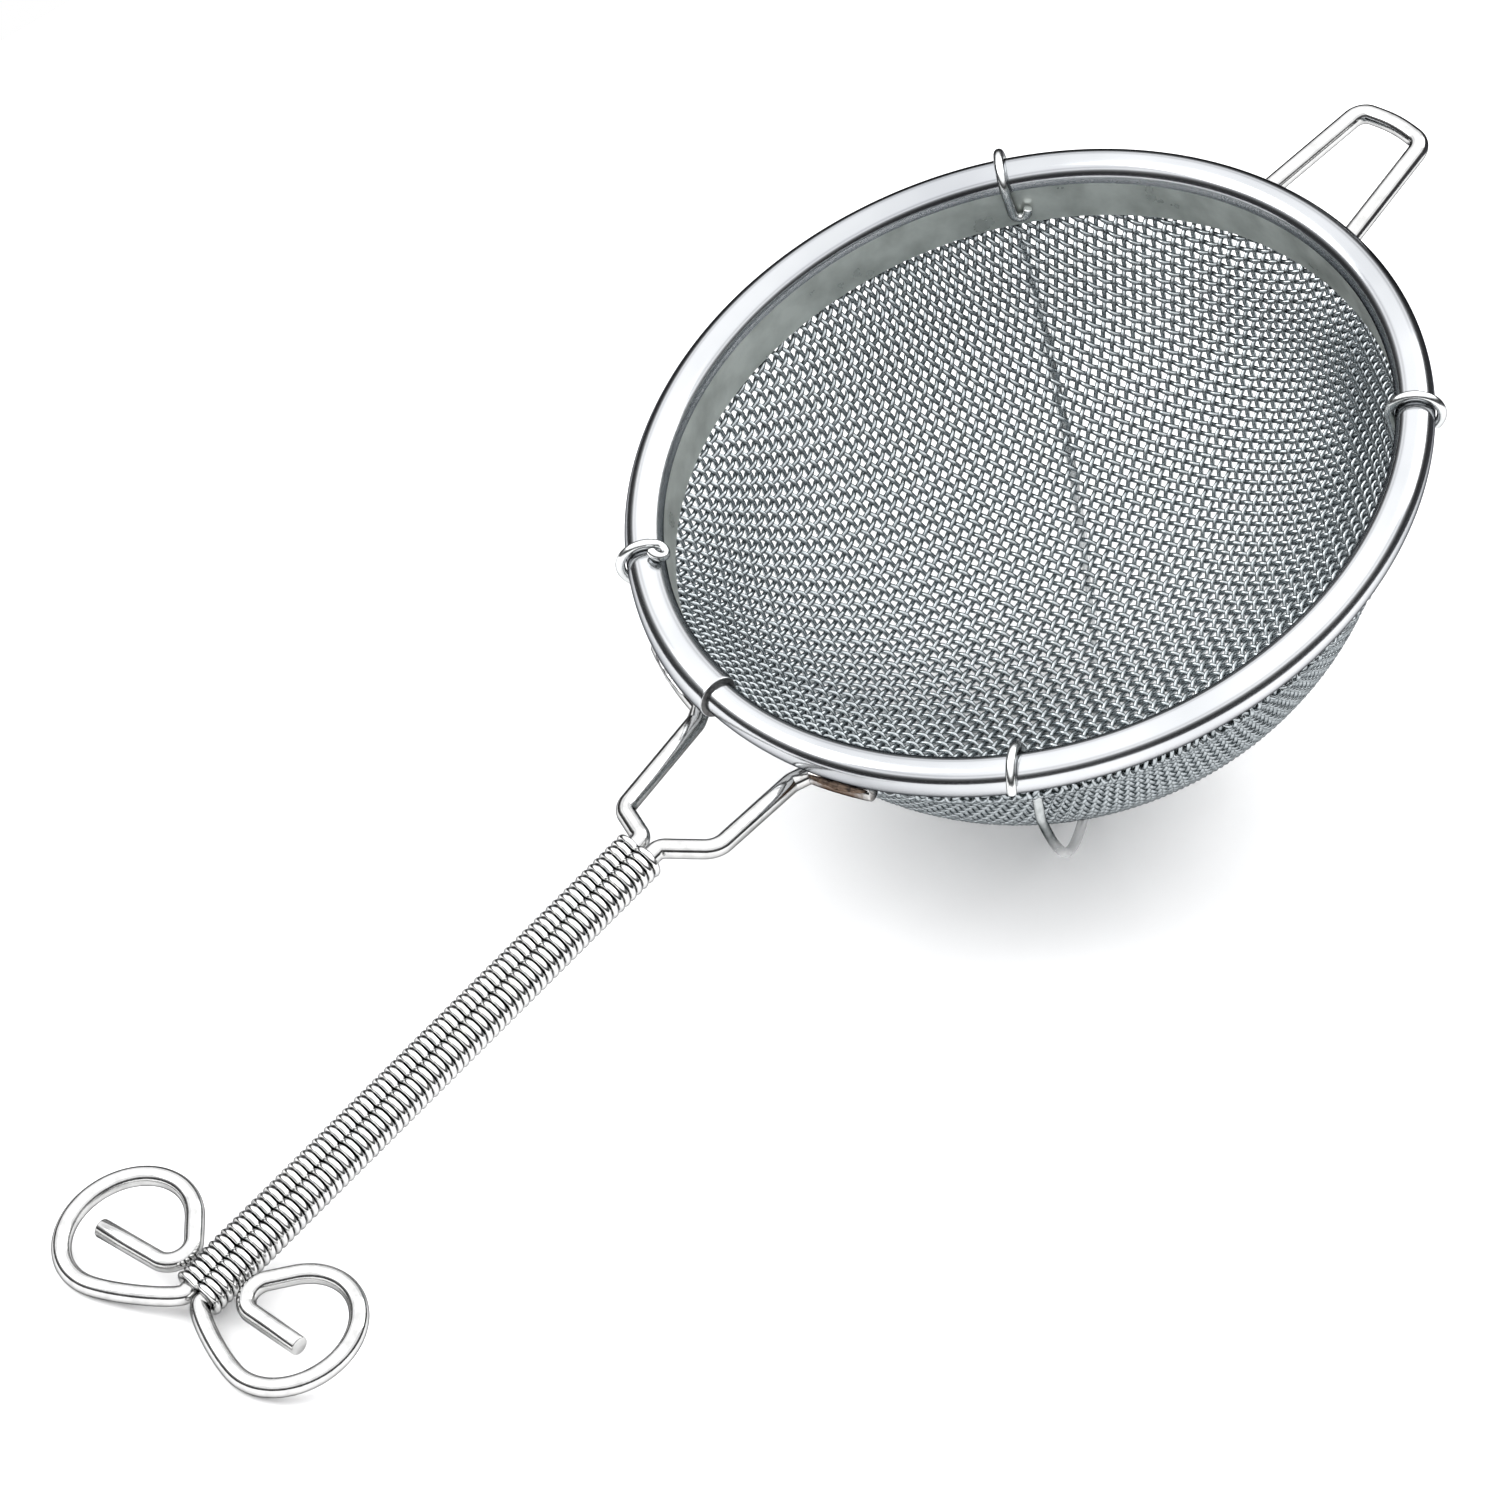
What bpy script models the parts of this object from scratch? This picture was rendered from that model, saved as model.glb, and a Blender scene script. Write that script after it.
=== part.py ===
"""Round wire-mesh bowl strainer with a wire-wrapped two-wire handle.

The strainer is drawn in its own rim frame: the origin is the centre of the
rolled rim bead, +Z points out of the open side of the bowl, the pan hook is on
+X and the handle runs along -X. An empty then lays the whole strainer down in
its rest pose, bowl wires and handle curls on the floor, +Z up, with the origin
at the bottom centre of the bounding box. All lengths are in metres.
"""
import math

import bmesh
import bpy
from mathutils import Matrix, Vector

MM = 0.001

# ------------------------------------------------------------- rim band
RIM_OUTER_R = 60.0 * MM          # outside of the rolled bead
BEAD_R = 2.9 * MM                # radius of the rolled bead
BEAD_CORE_R = RIM_OUTER_R - BEAD_R
SKIRT_T = 0.55 * MM              # sheet of the inner skirt
SKIRT_BOTTOM = -7.1 * MM         # lower edge of the inner skirt
SEAM_ANGLE = math.radians(170.0)     # lap joint of the bead, beside the handle
SEAM_STEP = 0.45 * MM            # how much the lapping end stands proud
SEAM_TUCK = 0.40 * MM            # how much the tucked end is squeezed
SEAM_BLEND = math.radians(28.0)  # run over which the lap fades out
RIM_SEGMENTS = 60

# ------------------------------------------------------------- mesh bowl
BOWL_COLLAR_R = 55.9 * MM        # outside of the cloth behind the skirt
BOWL_COLLAR_TOP = -3.50 * MM
BOWL_COLLAR_LOW = -7.4 * MM
BOWL_A = 53.3 * MM               # pressed half ellipsoid
BOWL_DEPTH = 48.4 * MM
BOWL_EASE = 14.0 * MM            # height over which the collar runs in
BOWL_T = 0.95 * MM               # two crossing cloth wires
BOWL_SEGMENTS = 52
BOWL_RINGS = 11

# ------------------------------------------------------------- frame wire
WIRE_R = 1.46 * MM               # handle and hook wire
WIRE_SIDES = 9
TAIL_R = 58.66 * MM              # wire centre where it is tucked under the bead
TAIL_Z = -4.23 * MM
LEFT_PRONG = {                   # +Y side
    "tail": (58.80 * MM, -4.66 * MM),    # under the swollen side of the lap
    "tail_from": math.radians(151.5),
    "rim": (-59.4 * MM, 13.4 * MM),
    "bend": (-78.9 * MM, 8.1 * MM),
    "neck": (-81.5 * MM, 1.68 * MM),
    "loop": (-174.25 * MM, 16.64 * MM),
    "return_y": 6.34 * MM,
    "end_y": 20.5 * MM,
}
RIGHT_PRONG = {                  # -Y side, given mirrored
    "tail": (57.80 * MM, -4.46 * MM),
    "tail_from": math.radians(161.5),
    "rim": (-60.1 * MM, 6.7 * MM),
    "bend": (-76.9 * MM, 8.9 * MM),
    "neck": (-81.5 * MM, 1.68 * MM),
    "loop": (-173.67 * MM, 16.25 * MM),
    "return_y": 6.15 * MM,
    "end_y": 19.2 * MM,
}
CORE_Y = 1.6 * MM                # half spacing of the two grip wires
CURL_X_OUT = -177.5 * MM         # where a wire leaves the grip for its curl
CURL_AX = 10.15 * MM             # curl: elliptic loop
CURL_AY = 9.39 * MM
CURL_START = math.radians(190.0)
CURL_END = math.radians(-45.0)
CURL_HOOK_R = 3.2 * MM           # small return bend

# ------------------------------------------------------------- grip coil
COIL_WIRE_R = 0.56 * MM
COIL_SIDES = 5
COIL_PITCH = 1.262 * MM
COIL_X0 = -83.4 * MM
COIL_TURNS = 74.1
COIL_REACH = 2.25 * MM           # wrap centre line from a grip wire's axis

# ------------------------------------------------------------- pan hook
HOOK_Z = TAIL_Z
HOOK_Y_RIM = 8.4 * MM
HOOK_X_RIM = 61.9 * MM
HOOK_Y_END = 6.2 * MM
HOOK_X_END = 79.5 * MM
HOOK_ARCH = 0.9 * MM             # outward bow of the end bar
HOOK_CORNER = 2.6 * MM
HOOK_TAIL = math.radians(20.0)   # welded tail, measured round the rim

# ------------------------------------------------------------- support wires
SUP_R = 0.74 * MM
SUP_SIDES = 6
SUP_HUG = BEAD_R + SUP_R + 0.16 * MM     # wire centre from the bead core
SUP_RIM_R = 56.3 * MM
SUP_TOP_Z = -3.0 * MM
SUP_KNEE_R = 57.05 * MM          # where a wire clears the collar on its way up
SUP_KNEE_Z = -6.4 * MM
SUP_DEPTH = 54.6 * MM            # wire centre below the rim plane
SUP_POWER_A = 1.92
SUP_POWER_B = 1.60
SUP_SWAY = 2.3 * MM              # sideways lean of wire A on its near flank
SUP_JOGGLE_A = -0.25 * MM        # wire A is pressed down at the crossing
SUP_JOGGLE_B = 3.00 * MM         # wire B steps over it
SUP_JOGGLE_RUN = 5.5 * MM
A_NEAR = math.radians(-137.1)    # wire A, from beside the handle ...
A_FAR = math.radians(46.4)       # ... to beside the pan hook
B_NEAR = math.radians(139.8)
B_FAR = math.radians(-47.8)

EYE_R = 1.20 * MM                # rolled eye at one end of wire B
EYE_TURN = 255.0
SMALL_HOOK_R = 1.1 * MM          # turned-up end of wire A
SMALL_HOOK_DROP = 3.6 * MM

# ------------------------------------------------------------- welds
WELD_R = 0.55 * MM
WELD_SPAN = math.radians(9.0)
LEFT_WELD = math.radians(159.0)
RIGHT_WELD = math.radians(-166.4)


# ---------------------------------------------------------------- helpers
def clear_scene():
    for obj in list(bpy.data.objects):
        bpy.data.objects.remove(obj, do_unlink=True)
    for store in (bpy.data.meshes, bpy.data.curves, bpy.data.materials):
        for block in list(store):
            store.remove(block)


def steel(name, colour, roughness, metallic=1.0):
    mat = bpy.data.materials.new(name)
    mat.use_nodes = True
    shader = mat.node_tree.nodes["Principled BSDF"]
    shader.inputs["Base Color"].default_value = (*colour, 1.0)
    shader.inputs["Roughness"].default_value = roughness
    shader.inputs["Metallic"].default_value = metallic
    mat.diffuse_color = (*colour, 1.0)
    return mat


def add_object(name, data, material, parent):
    obj = bpy.data.objects.new(name, data)
    bpy.context.scene.collection.objects.link(obj)
    data.materials.append(material)
    obj.parent = parent
    return obj


def mesh_object(name, bm, material, parent):
    bmesh.ops.recalc_face_normals(bm, faces=bm.faces)
    data = bpy.data.meshes.new(name)
    bm.to_mesh(data)
    bm.free()
    for poly in data.polygons:
        poly.use_smooth = True
    return add_object(name, data, material, parent)


def sweep(bm, points, radius, sides, roll=0.0):
    """Round wire along a polyline, section carried without twist, ends closed."""
    tangents = []
    last = len(points) - 1
    for k in range(len(points)):
        before = points[k] - points[max(0, k - 1)]
        after = points[min(last, k + 1)] - points[k]
        way = Vector((0.0, 0.0, 0.0))
        for leg in (before, after):
            if leg.length > 1e-9:
                way += leg.normalized()
        tangents.append(way.normalized())
    up = Vector((0.0, 0.0, 1.0))
    if abs(tangents[0].dot(up)) > 0.9:
        up = Vector((0.0, 1.0, 0.0))
    normal = (up - tangents[0] * up.dot(tangents[0])).normalized()
    rings = []
    for k, point in enumerate(points):
        if k:
            axis = tangents[k - 1].cross(tangents[k])
            if axis.length > 1e-9:
                bend = tangents[k - 1].angle(tangents[k])
                normal = Matrix.Rotation(bend, 3, axis.normalized()) @ normal
            normal = (normal - tangents[k] * normal.dot(tangents[k])).normalized()
        side = tangents[k].cross(normal)
        ring = []
        for i in range(sides):
            a = roll + 2 * math.pi * i / sides
            ring.append(bm.verts.new(point + (normal * math.cos(a) + side * math.sin(a)) * radius))
        rings.append(ring)
    for one, two in zip(rings[:-1], rings[1:]):
        for i in range(sides):
            j = (i + 1) % sides
            bm.faces.new((one[i], one[j], two[j], two[i]))
    bm.faces.new(tuple(reversed(rings[0])))
    bm.faces.new(tuple(rings[-1]))


def wire_object(name, points, radius, material, parent, sides, roll=0.0):
    """A drawn wire with square-cut ends."""
    bm = bmesh.new()
    sweep(bm, points, radius, sides, roll)
    obj = mesh_object(name, bm, material, parent)
    for poly in obj.data.polygons:
        if len(poly.vertices) == sides and sides != 4:
            poly.use_smooth = False
    return obj


def polar(angle, radius, z=0.0, side=0.0):
    """Point at a plan angle and radius, moved sideways along the rim."""
    c, s = math.cos(angle), math.sin(angle)
    return Vector((radius * c - side * s, radius * s + side * c, z))


def hermite(p0, t0, p1, t1, steps):
    out = []
    for k in range(1, steps):
        u = k / steps
        h00 = 2 * u**3 - 3 * u**2 + 1
        h10 = u**3 - 2 * u**2 + u
        h01 = -2 * u**3 + 3 * u**2
        h11 = u**3 - u**2
        out.append(h00 * p0 + h10 * t0 + h01 * p1 + h11 * t1)
    return out


def rounded(points, radii, step=math.radians(15.0)):
    """Polyline with each inner corner replaced by a true arc."""
    out = [points[0].copy()]
    for k in range(1, len(points) - 1):
        a, b, c = points[k - 1], points[k], points[k + 1]
        u = (a - b).normalized()
        v = (c - b).normalized()
        half = u.angle(v) / 2.0
        radius = radii[k - 1]
        cut = radius / math.tan(half)
        centre = b + (u + v).normalized() * (radius / math.sin(half))
        start, end = b + u * cut - centre, b + v * cut - centre
        sweep = start.angle(end)
        count = max(2, int(round(sweep / step)))
        for i in range(count + 1):
            w = i / count
            arm = (start * math.sin((1 - w) * sweep) + end * math.sin(w * sweep)) / math.sin(sweep)
            out.append(centre + arm)
    out.append(points[-1].copy())
    return out


def thin_out(points, least):
    """Drop points closer together than the given spacing, keeping both ends."""
    out = [points[0]]
    for p in points[1:-1]:
        if (p - out[-1]).length >= least:
            out.append(p)
    if (points[-1] - out[-1]).length < least and len(out) > 1:
        out.pop()
    out.append(points[-1])
    return out


# ---------------------------------------------------------------- rim band
def rim_section(swell):
    """Closed r-z section: a round bead with a flat skirt on its inner side."""
    inner = BEAD_CORE_R - BEAD_R
    radius = BEAD_R + swell
    leg = inner + SKIRT_T
    start = -math.acos((leg - BEAD_CORE_R) / radius)
    stop = math.acos(max(-1.0, (inner - BEAD_CORE_R) / radius))
    pts = []
    arc = 16
    for k in range(arc + 1):
        a = start + (stop - start) * k / arc
        pts.append((BEAD_CORE_R + radius * math.cos(a), radius * math.sin(a)))
    pts.append((inner, -3.6 * MM))
    pts.append((inner, SKIRT_BOTTOM))
    pts.append((leg, SKIRT_BOTTOM))
    return pts


def seam_swell(run):
    """Change of the bead's radius at an angle past the lap joint."""
    after = max(0.0, 1.0 - run / SEAM_BLEND)
    before = max(0.0, 1.0 - (2 * math.pi - run) / SEAM_BLEND)
    return (SEAM_STEP * before * before * (3 - 2 * before)
            - SEAM_TUCK * after * after * (3 - 2 * after))


def build_rim(material, parent):
    bm = bmesh.new()
    angles = [(SEAM_ANGLE, -SEAM_TUCK)]
    for k in range(1, RIM_SEGMENTS):
        run = 2 * math.pi * k / RIM_SEGMENTS
        angles.append((SEAM_ANGLE + run, seam_swell(run)))
    angles.append((SEAM_ANGLE + 2 * math.pi - 0.0032, SEAM_STEP))
    rings = []
    for angle, swell in angles:
        c, s = math.cos(angle), math.sin(angle)
        rings.append([bm.verts.new((r * c, r * s, z)) for r, z in rim_section(swell)])
    n = len(rings[0])
    for k in range(len(rings)):
        one, two = rings[k], rings[(k + 1) % len(rings)]
        for i in range(n):
            j = (i + 1) % n
            bm.faces.new((one[i], one[j], two[j], two[i]))
    return mesh_object("rim_band", bm, material, parent)


# ---------------------------------------------------------------- mesh bowl
def bowl_radius(z):
    """Outside radius of the cloth at a height below the rim plane."""
    if z >= BOWL_COLLAR_LOW:
        return BOWL_COLLAR_R
    shell = BOWL_A * math.sqrt(max(0.0, 1.0 - (z / BOWL_DEPTH) ** 2))
    start = BOWL_A * math.sqrt(1.0 - (BOWL_COLLAR_LOW / BOWL_DEPTH) ** 2)
    ease = max(0.0, 1.0 - (BOWL_COLLAR_LOW - z) / BOWL_EASE)
    return shell + (BOWL_COLLAR_R - start) * ease ** 3


def bowl_profile():
    """Outer and inner r-z points from the open edge to the bottom centre."""
    first = math.asin(-BOWL_COLLAR_LOW / BOWL_DEPTH)
    outer = [(BOWL_COLLAR_R, BOWL_COLLAR_TOP), (BOWL_COLLAR_R, BOWL_COLLAR_LOW)]
    for k in range(1, BOWL_RINGS):
        z = -BOWL_DEPTH * math.sin(first + (math.pi / 2 - first) * k / BOWL_RINGS)
        outer.append((bowl_radius(z), z))
    outer.append((0.0, -BOWL_DEPTH))
    inner = []
    for k, (r, z) in enumerate(outer):
        if k < 2:
            inner.append((r - BOWL_T, z))
        elif k == len(outer) - 1:
            inner.append((0.0, z + BOWL_T))
        else:
            r0, z0 = outer[k - 1]
            r1, z1 = outer[k + 1]
            run = math.hypot(r1 - r0, z1 - z0)
            inner.append((r + (z1 - z0) / run * BOWL_T, z - (r1 - r0) / run * BOWL_T))
    return outer, inner


def build_bowl(material, parent, cutters):
    outer, inner = bowl_profile()
    bm = bmesh.new()
    loops = []
    for prof in (outer, inner):
        rows = []
        for r, z in prof[:-1]:
            rows.append([
                bm.verts.new((r * math.cos(2 * math.pi * k / BOWL_SEGMENTS),
                              r * math.sin(2 * math.pi * k / BOWL_SEGMENTS), z))
                for k in range(BOWL_SEGMENTS)
            ])
        pole = bm.verts.new((0.0, 0.0, prof[-1][1]))
        loops.append((rows, pole))
    for rows, pole in loops:
        for one, two in zip(rows[:-1], rows[1:]):
            for k in range(BOWL_SEGMENTS):
                j = (k + 1) % BOWL_SEGMENTS
                bm.faces.new((one[k], one[j], two[j], two[k]))
        last = rows[-1]
        for k in range(BOWL_SEGMENTS):
            bm.faces.new((last[k], last[(k + 1) % BOWL_SEGMENTS], pole))
    edge_a, edge_b = loops[0][0][0], loops[1][0][0]
    for k in range(BOWL_SEGMENTS):
        j = (k + 1) % BOWL_SEGMENTS
        bm.faces.new((edge_a[k], edge_a[j], edge_b[j], edge_b[k]))
    bowl = mesh_object("mesh_basket", bm, material, parent)
    for cutter in cutters:
        hole = bowl.modifiers.new("wire_hole", "BOOLEAN")
        hole.operation = "DIFFERENCE"
        hole.solver = "EXACT"
        hole.object = cutter
    return bowl


# ---------------------------------------------------------------- handle
def handle_path(side, prong):
    """Centre line of one handle wire: tail on the rim, prong, grip, curl."""
    tail_r, tail_z = prong["tail"]
    rim = Vector((*prong["rim"], tail_z))
    bend = Vector((*prong["bend"], -0.35 * MM))
    neck = Vector((*prong["neck"], 0.0))
    pts = []
    # tail that follows the bead and the bend out into the prong
    end_angle = math.pi - math.atan2(rim.y, -rim.x)
    first, count = prong["tail_from"], 5
    for k in range(count):
        a = first + (end_angle - math.radians(1.6) - first) * k / (count - 1)
        pts.append(Vector((tail_r * math.cos(a), tail_r * math.sin(a), tail_z)))
    corner = [pts[-1], rim, bend, neck, Vector((neck.x - 4.0 * MM, CORE_Y, 0.0))]
    pts += rounded(corner, (1.5 * MM, 3.0 * MM, 1.7 * MM))[1:]
    # straight grip wire
    start_x = pts[-1].x
    for k in range(1, 6):
        pts.append(Vector((start_x + (CURL_X_OUT - start_x) * k / 5, CORE_Y, 0.0)))
    middle = Vector((*prong["loop"], 0.0))

    def loop(a):
        return middle + Vector((CURL_AX * math.cos(a), CURL_AY * math.sin(a), 0.0))

    def loop_way(a):
        return Vector((CURL_AX * math.sin(a), -CURL_AY * math.cos(a), 0.0)).normalized()

    # out of the grip in one sweep on to the loop
    pts += hermite(pts[-1], Vector((-4.0 * MM, 0.0, 0.0)), loop(CURL_START),
                   loop_way(CURL_START) * 14.0 * MM, 9)
    # the loop itself
    count = 22
    for k in range(count + 1):
        pts.append(loop(CURL_START + (CURL_END - CURL_START) * k / count))
    # straight towards the grip, small return bend, then the straight end
    way = loop_way(CURL_END)
    right = Vector((way.y, -way.x, 0.0))
    low = pts[-1].y + (right.y - 1.0) * CURL_HOOK_R
    pts.append(pts[-1] + way * (prong["return_y"] - low) / way.y)
    centre = pts[-1] + right * CURL_HOOK_R
    first = math.atan2(-right.y, -right.x)
    last = math.radians(180.0 + 2.0)
    while first < last:
        first += 2 * math.pi
    count = 8
    for k in range(1, count + 1):
        a = first + (last - first) * k / count
        pts.append(centre + Vector((math.cos(a), math.sin(a), 0.0)) * CURL_HOOK_R)
    direction = Vector((math.sin(last), -math.cos(last), 0.0))
    stem = (prong["end_y"] - pts[-1].y) / direction.y
    pts.append(pts[-1] + direction * stem * 0.5)
    pts.append(pts[-2] + direction * stem)
    pts = thin_out(pts, 0.55 * MM)
    return [Vector((p.x, p.y * side, p.z)) for p in pts]


# ---------------------------------------------------------------- grip coil
def wrap_section():
    """One turn round the two grip wires, dipping into the groove between."""
    groove = math.sqrt(COIL_REACH**2 - CORE_Y**2)
    lobe = [math.radians(a) for a in (-90.0, -45.0, 0.0, 45.0, 90.0)]
    ring = [(CORE_Y + COIL_REACH * math.cos(a), COIL_REACH * math.sin(a)) for a in lobe]
    ring.append((0.0, groove + 0.05 * MM))
    ring += [(-CORE_Y - COIL_REACH * math.cos(a), COIL_REACH * math.sin(a)) for a in reversed(lobe)]
    ring.append((0.0, -groove - 0.05 * MM))
    return ring


def coil_path():
    ring = wrap_section()
    lengths = [0.0]
    for k in range(len(ring)):
        y0, z0 = ring[k]
        y1, z1 = ring[(k + 1) % len(ring)]
        lengths.append(lengths[-1] + math.hypot(y1 - y0, z1 - z0))
    total = lengths[-1]
    pts = []
    steps = int(round(COIL_TURNS * len(ring)))
    for k in range(steps + 1):
        i = k % len(ring)
        turn = k // len(ring) + lengths[i] / total
        y, z = ring[i]
        pts.append(Vector((COIL_X0 - COIL_PITCH * turn, y, z)))
    return pts


# ---------------------------------------------------------------- pan hook
def hook_path():
    tail_end = math.asin(HOOK_Y_RIM / TAIL_R) + HOOK_TAIL
    tail_in = math.asin((HOOK_Y_RIM + 1.3 * MM) / TAIL_R)
    one = []
    for k in range(4):
        a = tail_end + (tail_in - tail_end) * k / 3
        one.append(Vector((TAIL_R * math.cos(a), TAIL_R * math.sin(a), HOOK_Z)))
    leg = [
        one[-1],
        Vector((HOOK_X_RIM - 1.6 * MM, HOOK_Y_RIM + 0.1 * MM, HOOK_Z)),
        Vector((HOOK_X_END, HOOK_Y_END, HOOK_Z + 0.5 * MM)),
        Vector((HOOK_X_END + HOOK_ARCH, 0.0, HOOK_Z + 0.5 * MM)),
        Vector((HOOK_X_END, -HOOK_Y_END, HOOK_Z + 0.5 * MM)),
        Vector((HOOK_X_RIM - 1.6 * MM, -HOOK_Y_RIM - 0.1 * MM, HOOK_Z)),
        Vector((one[-1].x, -one[-1].y, HOOK_Z)),
    ]
    bent = rounded(leg, (1.2 * MM, HOOK_CORNER, 20.0 * MM, HOOK_CORNER, 1.2 * MM))
    back = [Vector((p.x, -p.y, p.z)) for p in reversed(one[:-1])]
    return thin_out(one[:-1] + bent + back, 0.5 * MM)


# ---------------------------------------------------------------- supports
def crossing_run(near, far, other_near, other_far):
    """Distance from the middle of one chord to where the other crosses it."""
    a, b = polar(near, SUP_RIM_R), polar(far, SUP_RIM_R)
    c, d = polar(other_near, SUP_RIM_R), polar(other_far, SUP_RIM_R)
    u, v, w = b - a, d - c, c - a
    share = (w.x * v.y - w.y * v.x) / (u.x * v.y - u.y * v.x)
    return u.length * (share - 0.5)


def support_span(near, far, depth, power, lift, sway, cross):
    """Wire under the bowl, from just below the rim on one side to the other."""
    a = polar(near, SUP_RIM_R)
    b = polar(far, SUP_RIM_R)
    mid, arm = (a + b) / 2, (b - a) / 2
    across = Vector((-arm.y, arm.x, 0.0)).normalized()
    pts = []
    steps = 36
    for k in range(steps + 1):
        t = math.pi * k / steps
        s = -math.copysign(abs(math.cos(t)) ** (2.0 / power), math.cos(t))
        z = SUP_TOP_Z - (depth + SUP_TOP_Z) * math.sin(t) ** (2.0 / power)
        run = arm.length * s
        p = mid + arm * s + across * sway * math.exp(-(((run + 35 * MM) / (28 * MM)) ** 2))
        p.z = z + lift * math.exp(-(((run - cross) / SUP_JOGGLE_RUN) ** 2))
        pts.append(p)
    return thin_out(pts, 1.2 * MM)


def hug(angle, first, last, side0, side1, count):
    """Arc of a wire pulled over the rim bead, as seen in the r-z plane."""
    out = []
    for k in range(count + 1):
        w = k / count
        a = first + (last - first) * w
        out.append(polar(angle, BEAD_CORE_R + SUP_HUG * math.cos(a), SUP_HUG * math.sin(a),
                         side0 + (side1 - side0) * w))
    return out


def end_over_inward(angle, entry, heading, style):
    """From below, round the outside of the bead, over it and back inside."""
    radial = polar(angle, 1.0)
    around = Vector((-radial.y, radial.x, 0.0))
    up = Vector((0.0, 0.0, 1.0))
    stop = math.radians(128.0 if style == "eye" else 180.0)
    arc = hug(angle, math.radians(-60.0), stop, 0.0, -0.4 * MM, 13)
    lead = (arc[1] - arc[0]).normalized()
    knee = polar(angle, SUP_KNEE_R, SUP_KNEE_Z)
    lean = (radial * 0.34 + up).normalized()
    pts = hermite(entry, heading * 3.2 * MM, knee, lean * 3.0 * MM, 4) + [knee]
    pts += hermite(knee, lean * 2.6 * MM, arc[0], lead * 2.4 * MM, 4) + arc
    if style == "eye":
        # wire end rolled into an open eye lying against the bead
        way = (-math.sin(stop)) * radial + math.cos(stop) * up
        centre = arc[-1] + around * EYE_R
        for k in range(1, 9):
            a = math.radians(EYE_TURN) * k / 8
            pts.append(centre - around * EYE_R * math.cos(a) + way * EYE_R * math.sin(a))
    else:
        # straight down the skirt, then a small upward hook beside it
        base = arc[-1] - up * SMALL_HOOK_DROP
        pts.append(base)
        centre = base - around * SMALL_HOOK_R
        for k in range(1, 8):
            a = math.radians(165.0) * k / 7
            pts.append(centre + around * SMALL_HOOK_R * math.cos(a) - up * SMALL_HOOK_R * math.sin(a))
        pts.append(pts[-1] + (pts[-1] - pts[-2]).normalized() * 0.8 * MM)
    return pts


def end_through_outward(angle, entry, heading, sides, finish):
    """Through the cloth under the skirt, up inside, over and down outside."""
    low = polar(angle, BEAD_CORE_R - SUP_HUG - 0.12 * MM, SKIRT_BOTTOM + 0.2 * MM, sides[0])
    pts = hermite(entry, heading * 6.0 * MM, low, Vector((0, 0, 1)) * 4.0 * MM, 7)
    pts.append(low)
    pts += hug(angle, math.radians(180), finish, sides[0], sides[1], 14)
    return pts


def support_path(near, far, depth, power, lift, sway, cross, near_end, far_end):
    span = support_span(near, far, depth, power, lift, sway, cross)
    # the span gives way to the rim fittings this far below the rim plane
    limits = {"inward": -9.5 * MM, "through": -13.2 * MM}
    first = next(k for k, p in enumerate(span) if p.z < limits[near_end[0]])
    last = max(k for k, p in enumerate(span) if p.z < limits[far_end[0]])
    body = span[first:last + 1]

    def fitted(angle, end, entry, heading):
        if end[0] == "inward":
            return end_over_inward(angle, entry, heading, end[1])
        return end_through_outward(angle, entry, heading, end[1], end[2])

    head = fitted(near, near_end, body[0], (body[0] - body[1]).normalized())
    tail = fitted(far, far_end, body[-1], (body[-1] - body[-2]).normalized())
    return thin_out(list(reversed(head)) + body + tail, 0.34 * MM)


def lowest(points, radius, tilt):
    return min(p.x * math.sin(tilt) + p.z * math.cos(tilt) for p in points) - radius


def bisect(func, low, high):
    sign = func(low) > 0
    for _ in range(50):
        mid = (low + high) / 2
        if (func(mid) > 0) == sign:
            low = mid
        else:
            high = mid
    return (low + high) / 2


# ---------------------------------------------------------------- welds
def weld_path(centre_angle, span, tail, swell=0.0):
    """Short fillet in the outer groove between a tail and the bead."""
    dx, dz = tail[0] - BEAD_CORE_R, tail[1]
    gap = math.hypot(dx, dz)
    ra = BEAD_R + swell + WELD_R + 0.14 * MM
    rb = WIRE_R + WELD_R + 0.10 * MM
    along = (ra**2 - rb**2 + gap**2) / (2 * gap)
    off = math.sqrt(ra**2 - along**2)
    r = BEAD_CORE_R + (dx * along - dz * off) / gap
    z = (dz * along + dx * off) / gap
    count = 6
    pts = []
    for k in range(count + 1):
        a = centre_angle + span * (k / count - 0.5)
        pts.append(Vector((r * math.cos(a), r * math.sin(a), z)))
    return pts


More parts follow.
